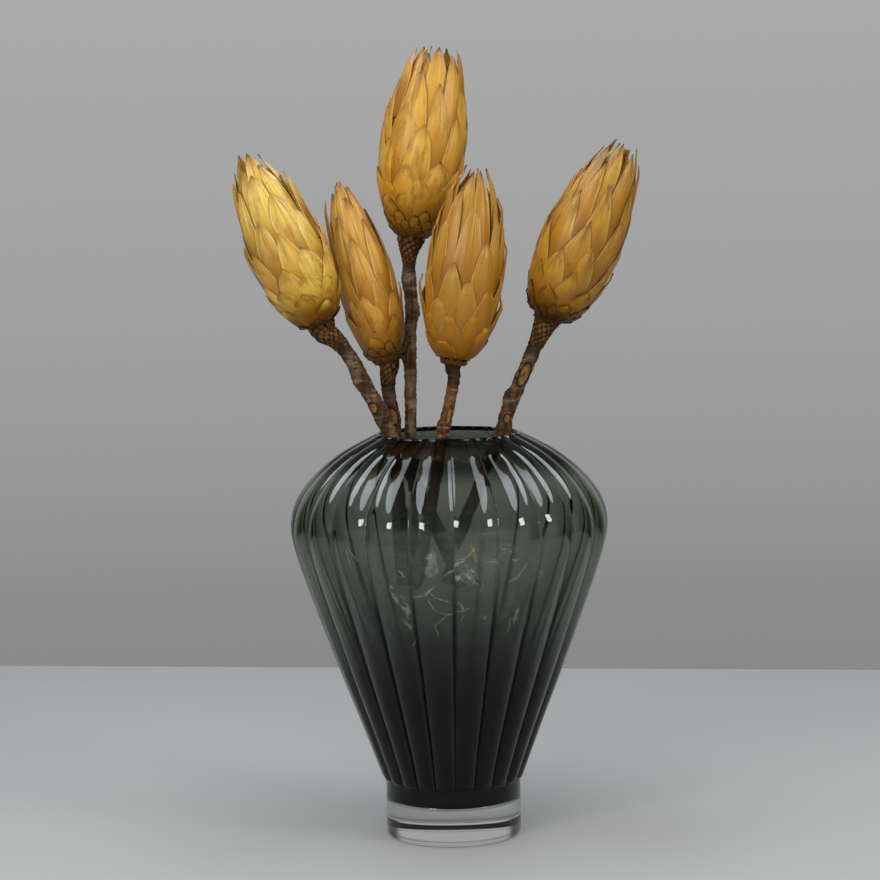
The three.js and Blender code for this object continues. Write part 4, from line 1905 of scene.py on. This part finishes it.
@dataclass(frozen=True)
class ScaleFinish:
    """Neck scale: beige in the middle, dark at the edge, dusty all over."""

    beige: Colour = (0.135, 0.060, 0.013)
    dark: Colour = (0.022, 0.009, 0.002)
    dull_tone: Colour = (0.11, 0.06, 0.03)

    def paint(self) -> Material:
        """Make the material.

        Returns:
            The material.
        """
        paint = Paint("neck_scale")
        side, along, shade = paint.stored("side"), paint.stored("along"), paint.stored("shade")
        fine = paint.noise(paint.place(), 700.0, 3.0, 0.6)
        middle = side.size().step(0.98, 0.6) * along.step(0.05, 0.25) * along.step(1.0, 0.86)
        lit = middle * (0.35 + 0.65 * shade.step(-0.8, 0.8))
        colour = paint.layers(self.dark, (lit, self.beige), (fine.step(0.5, 0.75) * 0.5, self.dull_tone))
        paint.set(Base_Color=colour, Roughness=0.55 + 0.2 * fine, Specular_IOR_Level=0.2)
        paint.bump(fine, 0.15 * MM, 0.6)
        return paint.material


FLOWERS = (
    Flower(
        place="far_left",
        number=1,
        base=(-64.6, -10, 269.6),
        tip=(-99.8, -24, 354.9),
        radius=20.2,
        bracts=50,
        turn=0.4,
        neck=Neck(7.2, 17, True),
        path=(
            (-57, -9.4, 260.7),
            (-51.2, -9, 253.8),
            (-43.3, -7, 239.1),
            (-36.4, -5.5, 225.4),
            (-30.5, -4, 212.2),
            (-1.5, -5, 148.7),
            (6.5, -6, 130.4),
        ),
        stem_radius=3.9,
        cut_radius=3.7,
        knots=(0.24, 0.36, 0.5),
        red=0.15,
        scars=(Scar(0.33, 0.5, 0.02, 0.7),),
        form=BractForm(width=17.0, torn=0.1, ragged=0.03, longest=0.62, stray=0.9, close=0.3),
        bract=BractFinish(
            ochre=(0.60, 0.32, 0.022), yellow=(0.76, 0.50, 0.070), highlight_cream=(0.90, 0.72, 0.30),
            brown=(0.12, 0.040, 0.002), yellowness=0.85, base_brown=1.0,
        ),
        scale_top=0.05,
        loose=(
            LooseBract(74.0, 0.44, 0.85, 9.5, 3.4, 0.35),
            LooseBract(84.0, 0.26, 0.55, 9.0, 1.6, 0.3),
            LooseBract(-86.0, 0.24, 0.545, 8.5, 1.6, 0.3),
            LooseBract(-72.0, 0.55, 0.89, 8.0, 1.4, 0.2),
        ),
    ),
    Flower(
        place="left",
        number=2,
        base=(-31, 10, 250.2),
        tip=(-55.4, 18, 341.9),
        radius=15.4,
        bracts=36,
        turn=2.1,
        neck=Neck(5.6, 14, True),
        path=(
            (-30.8, 10, 240.3),
            (-30.4, 10, 228.8),
            (-28.2, 10, 218.2),
            (-28, 10, 209.8),
            (-27.1, 5, 147.7),
            (-26.3, 3, 130.6),
        ),
        stem_radius=3.6,
        cut_radius=3.4,
        knots=(0.27,),
        red=0.2,
        scars=(Scar(0.26, 0.2, 0.046, 0.95),),
        form=BractForm(
            width=13.0, shortest=0.3, longest=0.74, ragged=0.03, torn=0.7, close=0.3,
            climb=(0.4, 0.28, 0.66, 0.66),
        ),
        bract=BractFinish(
            ochre=(0.52, 0.25, 0.018), yellow=(0.62, 0.35, 0.04), yellowness=0.4, bruised=0.2
        ),
        outline=Outline(base=0.5, top=0.34),
        scale_top=0.09,
        loose=(
            LooseBract(-70.0, 0.42, 0.91, 8.5, 2.6, 0.75),
            LooseBract(-38.0, 0.1, 0.35, 4.5, 1.2, 0.0),
            LooseBract(-14.0, 0.14, 0.345, 4.0, 1.3, 0.0),
            LooseBract(82.0, 0.12, 0.38, 8.0, 1.8, 0.4),
        ),
    ),
    Flower(
        place="centre_tall",
        number=3,
        base=(-17.7, 22, 311.7),
        tip=(-2.6, 25, 411.2),
        radius=22.2,
        bracts=48,
        turn=1.2,
        neck=Neck(7.2, 13, True),
        path=(
            (-18.9, 22, 300.7),
            (-18.2, 22, 279.2),
            (-19.2, 22, 251.4),
            (-19.4, 20, 208.8),
            (-19.4, 14, 146.4),
            (-19.2, 12, 127),
        ),
        stem_radius=3.3,
        cut_radius=2.7,
        knots=(0.12, 0.21, 0.33),
        red=0.1,
        scars=(Scar(0.34, 0.9, 0.012, 0.5),),
        form=BractForm(
            width=16.5, longest=0.74, torn=0.35, first=0.19, blunt=4.6, close=0.26, ragged=0.03,
            climb=(0.42, 0.28, 0.7, 0.72),
        ),
        bract=BractFinish(
            ochre=(0.60, 0.300, 0.020), yellow=(0.70, 0.42, 0.052), highlight_cream=(0.60, 0.39, 0.11), bruised=0.3,
            tip_brown=0.95,
        ),
        outline=Outline(base=0.25, top=0.48, swell=0.55, taper=2.2),
        bark=BarkFinish(brown=(0.095, 0.045, 0.016), grey=(0.185, 0.125, 0.075)),
        scale_top=0.165,
        loose=(
            LooseBract(-82.0, 0.4, 0.7, 9.0, 1.0, 0.2),
            LooseBract(84.0, 0.36, 0.66, 9.0, 0.8, 0.4),
            LooseBract(66.0, 0.62, 0.985, 8.0, 1.2, 0.8),
            LooseBract(-58.0, 0.6, 0.97, 10.0, 0.3, 0.4),
        ),
    ),
    Flower(
        place="front",
        number=4,
        base=(3.8, -8, 249.7),
        tip=(17, -8, 348.3),
        radius=20.0,
        bracts=46,
        turn=3.3,
        neck=Neck(5, 11, False),
        path=(
            (3.6, -8.5, 238.9),
            (0.3, -11, 223.7),
            (-2.5, -13, 210),
            (-13.8, -20, 151),
            (-17.1, -22, 134.8),
        ),
        stem_radius=3,
        cut_radius=2.9,
        knots=(0.3,),
        red=0.8,
        scars=(Scar(0.25, -0.3, 0.05, 0.35),),
        form=BractForm(
            width=14.2, longest=0.66, climb=(0.42, 0.34, 0.70, 0.74), blunt=3.3, round=0.85, spread=0.9,
            stray=1.8, ragged=0.07, close=0.24, torn=0.1, hood=2.4,
        ),
        bract=BractFinish(
            ochre=(0.335, 0.148, 0.007), yellow=(0.42, 0.225, 0.016), highlight_cream=(0.52, 0.33, 0.085),
            yellowness=0.5, base_brown=0.08,
        ),
        outline=Outline(top=0.4),
        scale_top=0.015,
        loose=(
            LooseBract(-84.0, 0.12, 0.42, 9.0, 3.4, 0.2),
            LooseBract(-78.0, 0.40, 0.70, 8.0, 2.2, 0.5),
            LooseBract(-60.0, 0.58, 0.93, 8.0, 1.6, 0.6),
            LooseBract(86.0, 0.30, 0.64, 9.0, 3.0, 0.4),
            LooseBract(78.0, 0.52, 0.85, 8.0, 2.4, 0.6),
            LooseBract(80.0, 0.06, 0.33, 9.0, 3.2, 0.3),
        ),
    ),
    Flower(
        place="right",
        number=5,
        base=(52.7, -3, 270.4),
        tip=(93, -9, 358.7),
        radius=21.2,
        bracts=48,
        turn=5,
        neck=Neck(6.6, 16, True),
        path=(
            (47.3, -2, 258.5),
            (42.5, -1, 247.6),
            (36.2, 1, 233),
            (30.3, 3, 218.9),
            (27.1, 4, 208.4),
            (2.7, 8, 146.8),
            (-3.3, 9, 130.9),
        ),
        stem_radius=3.9,
        cut_radius=3.1,
        knots=(0.3, 0.42),
        red=0.1,
        scars=(Scar(0.21, -0.1, 0.050, 0.75), Scar(0.375, -0.2, 0.018, 0.45)),
        form=BractForm(
            width=14.0, longest=0.6, climb=(0.45, 0.36, 0.75, 0.78), blunt=3.6, round=1.05, spread=0.1,
            stray=0.6, close=0.22, torn=0.6,
        ),
        bract=BractFinish(
            ochre=(0.38, 0.182, 0.007), yellow=(0.47, 0.272, 0.016), highlight_cream=(0.56, 0.37, 0.095),
            brown=(0.10, 0.036, 0.002), tip_brown=0.95, base_brown=1.0, bruised=0.75,
            scale=(0.20, 0.085, 0.006), low_scale=(0.045, 0.018, 0.004),
        ),
        scale_top=0.1,
        loose=(
            LooseBract(-78.0, 0.45, 0.79, 9.0, 1.4, 0.5),
            LooseBract(-84.0, 0.24, 0.54, 9.0, 0.6, 0.4),
            LooseBract(76.0, 0.6, 0.92, 9.0, 0.9, 0.2),
            LooseBract(84.0, 0.1, 0.35, 8.5, 1.2, 0.3),
        ),
    ),
)


@dataclass(frozen=True)
class Softbox:
    """A soft studio lamp: a box, or an ellipse where it is turned. Places are in metres."""

    place: tuple[float, float, float]
    target: tuple[float, float, float]
    width: float
    height: float
    power: float
    colour: Colour = (1.0, 0.99, 0.96)
    turn: float = 0.0
    mirrored: bool = True
    shines: bool = True

    def hang(self, name: str) -> None:
        """Hang the lamp, turned to what it lights.

        Args:
            name: Name of the lamp.
        """
        data = bpy.data.lights.new(name, "AREA")
        data.shape = "ELLIPSE" if self.turn else "RECTANGLE"
        data.size, data.size_y = self.width, self.height
        data.energy, data.color = self.power, self.colour
        lamp = bpy.data.objects.new(name, data)
        lamp.location = self.place
        facing = (Vector(self.target) - Vector(self.place)).to_track_quat("-Z", "Y").to_matrix()
        lamp.rotation_euler = (facing @ Matrix.Rotation(self.turn, 3, "Z")).to_euler()
        lamp.visible_glossy = self.mirrored
        lamp.visible_diffuse = self.shines
        lamp.visible_transmission = False
        bpy.context.scene.collection.objects.link(lamp)


def strip(
    x: float, y: float, size: tuple[float, float], power: float, turn: float, shines: bool = True
) -> Softbox:
    """Make a cool lamp that hangs level over a spot of the floor.

    Args:
        x: How far right the spot is, in metres.
        y: How far back the spot is, in metres.
        size: Width and length in metres.
        power: Power in watts.
        turn: Angle that it is turned by.
        shines: Whether it lights things, besides being mirrored in them.

    Returns:
        The lamp.
    """
    return Softbox((x, y, 1.30), (x, y, 0.0), *size, power, (0.87, 0.945, 1.0), turn, shines=shines)


class Lamp(Enum):
    """The studio's lamps: strips overhead and panes in front that the glass mirrors, and two fills."""

    LEFT_STRIP = strip(-0.60, -0.13, (0.44, 1.55), 9.0, -0.45)
    RIGHT_STRIP = strip(0.60, -0.13, (0.40, 1.55), 7.9, 0.45)
    FAR_LEFT_STRIP = strip(-1.0, 0.55, (0.46, 1.40), 8.6, -0.83, shines=False)
    FAR_RIGHT_STRIP = strip(1.0, 0.55, (0.42, 1.40), 7.7, 0.83, shines=False)
    LEFT_PANE = Softbox((-0.96, -1.32, 0.87), (0.0, 0.0, 0.17), 0.38, 0.34, 6.5)
    RIGHT_PANE = Softbox((1.35, -0.92, 0.87), (0.0, 0.0, 0.17), 0.38, 0.34, 6.5)
    FRONT_FILL = Softbox((-0.35, -1.75, 0.78), (0.0, 0.0, 0.30), 1.4, 0.8, 8.5, mirrored=False)
    TOP_FILL = Softbox((0.05, -0.75, 1.45), (0.0, 0.0, 0.10), 1.1, 0.9, 8.0, mirrored=False)


# Brightness of the room from the floor, at 0, up to the ceiling, at 1: first the wall behind the table,
# then what is on the side of the camera
WALL_SHADES = (
    (0.0, (0.16, 0.16, 0.16)),
    (0.31, (0.245, 0.248, 0.245)),
    (0.345, (0.262, 0.264, 0.262)),
    (0.40, (0.315, 0.316, 0.315)),
    (0.46, (0.355, 0.356, 0.355)),
    (0.58, (0.405, 0.406, 0.406)),
    (0.66, (0.42, 0.42, 0.42)),
    (0.78, (0.36, 0.36, 0.36)),
    (0.90, (0.10, 0.10, 0.10)),
)
ROOM_SHADES = (
    (0.45, (0.45, 0.45, 0.45)),
    (0.62, (0.55, 0.55, 0.55)),
    (0.80, (0.08, 0.08, 0.08)),
    (0.97, (0.02, 0.02, 0.02)),
)


@dataclass
class Studio:
    """Pale table, grey surroundings, lamps and the camera. Sizes and places are in metres."""

    table_colour: Colour = (0.432, 0.426, 0.423)
    table_cloud: Colour = (0.38, 0.38, 0.38)
    corner_colour: Colour = (0.02, 0.02, 0.02)
    table_back: float = 0.469
    table_slant: float = 0.11
    table_gap: float = 0.02 * MM
    table_front: float = -1.0
    table_half_width: float = 1.6
    table_thickness: float = 0.03
    camera_distance: float = 1.310
    camera_height: float = 0.331
    pitch: float = math.radians(5.4)
    roll: float = math.radians(0.93)
    focal_px: float = 2535.0
    image_px: float = 880.0
    axis_right_px: float = 8.0

    def table(self) -> None:
        """Lay the table, which isn't part of the object."""
        x, front, back = self.table_half_width, self.table_front, self.table_back
        slant = self.table_slant * x
        outline = ((-x, front), (x, front), (x, back - slant), (-x, back + slant))
        heights = (-self.table_thickness, -self.table_gap)
        points = [(px, py, z) for z in heights for px, py in outline]
        faces = [(3, 2, 1, 0), (4, 5, 6, 7), (0, 1, 5, 4), (1, 2, 6, 5), (2, 3, 7, 6), (3, 0, 4, 7)]
        made = mesh_object("table", points, faces, smooth=False)
        paint = Paint("table_top")
        cloud = paint.noise(paint.place(), 3.0, 4.0, 0.5)
        colour = paint.mix(cloud * 0.12, self.table_colour, self.table_cloud)
        paint.set(Base_Color=colour, Roughness=0.55 + 0.1 * cloud, Specular_IOR_Level=0.3)
        made.data.materials.append(paint.material)

    def surroundings(self) -> None:
        """Set the grey backdrop's light, which is brighter higher up."""
        world = bpy.data.worlds.new("studio")
        bpy.context.scene.world = world
        world.use_nodes = True
        tint = Tint(world.node_tree)
        x, y, z = tint.parts(tint.add("ShaderNodeTexCoord").outputs["Generated"])
        wall, front = tint.ramp(z + 0.5, WALL_SHADES), tint.ramp(z + 0.5, ROOM_SHADES)
        corner = x.size().step(0.60, 0.78) * y.step(-0.35, -0.05)
        room = tint.layers(wall, (y.step(0.0, -0.6), front), (corner, self.corner_colour))
        seen = Value(tint.tree, tint.add("ShaderNodeLightPath").outputs["Is Camera Ray"])
        tint.put(tint.tree.nodes["Background"].inputs["Color"], tint.mix(seen, room, wall))

    def camera(self) -> None:
        """Set the camera where the photograph was taken from."""
        data = bpy.data.cameras.new("camera")
        data.sensor_width = 36.0
        data.lens = self.focal_px / self.image_px * data.sensor_width
        data.clip_start, data.clip_end = 0.05, 20.0
        yaw = Matrix.Rotation(math.atan(self.axis_right_px / self.focal_px), 3, "Z")
        ahead = yaw @ Vector((0.0, math.cos(self.pitch), -math.sin(self.pitch)))
        right = yaw @ Vector((1.0, 0.0, 0.0))
        up = right.cross(ahead)
        cos, sin = math.cos(self.roll), math.sin(self.roll)
        turned = Matrix((cos * right - sin * up, sin * right + cos * up, -ahead)).transposed()
        made = bpy.data.objects.new("camera", data)
        place = Vector((0.0, -self.camera_distance, self.camera_height))
        made.matrix_world = Matrix.Translation(place) @ turned.to_4x4()
        bpy.context.scene.collection.objects.link(made)
        bpy.context.scene.camera = made

    def build(self) -> None:
        """Set up the whole studio."""
        self.table()
        self.surroundings()
        for lamp in Lamp:
            lamp.value.hang(lamp.name.lower())
        self.camera()
        bpy.context.scene.view_settings.view_transform = "Standard"


def fit(piece: Thing, node: str) -> None:
    """Let a piece stand for a solid of the part.

    Args:
        piece: The finished piece.
        node: Name of the solid that it replaces.
    """
    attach(piece, BODY)
    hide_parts(node)
    LOG.info("%s: %d faces", piece.name, len(piece.data.polygons))


def main() -> None:
    """Build the studio and the part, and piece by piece."""
    logging.basicConfig(level=logging.INFO, format="%(name)s %(message)s")
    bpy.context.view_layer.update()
    Studio().build()
    vase = Vase()
    smoked = GlassFinish(
        "smoked_glass",
        left=(0.055, 0.155, 0.0),
        density=290.0,
        line=(0.03, 0.035, 0.03),
        dusk=(0.026, 0.026, 0.028),
        shade_left=(0.94, 0.95, 0.94),
        shine=(0.13, 0.13, 0.14),
    ).paint()
    clear = GlassFinish(
        "clear_glass",
        left=(0.6, 0.62, 0.61),
        density=3.0,
        line=(0.16, 0.17, 0.17),
        shade_left=(0.74, 0.75, 0.75),
    ).paint()
    fit(vase.body(smoked), "vase_body")
    fit(vase.foot(clear, DarkGlassFace().paint()), "vase_foot")
    fit(FilmWad().build(FilmFinish().paint()), "crumpled_film")
    gap, scale = GapFinish().paint(), ScaleFinish().paint()
    for flower in FLOWERS:
        bark = flower.bark.paint("bark_" + flower.place, flower.red)
        fit(flower.head(gap), "bloom_" + flower.place)
        fit(flower.stem(bark, scale), "stem_" + flower.place)


if __name__ == "__main__":
    main()
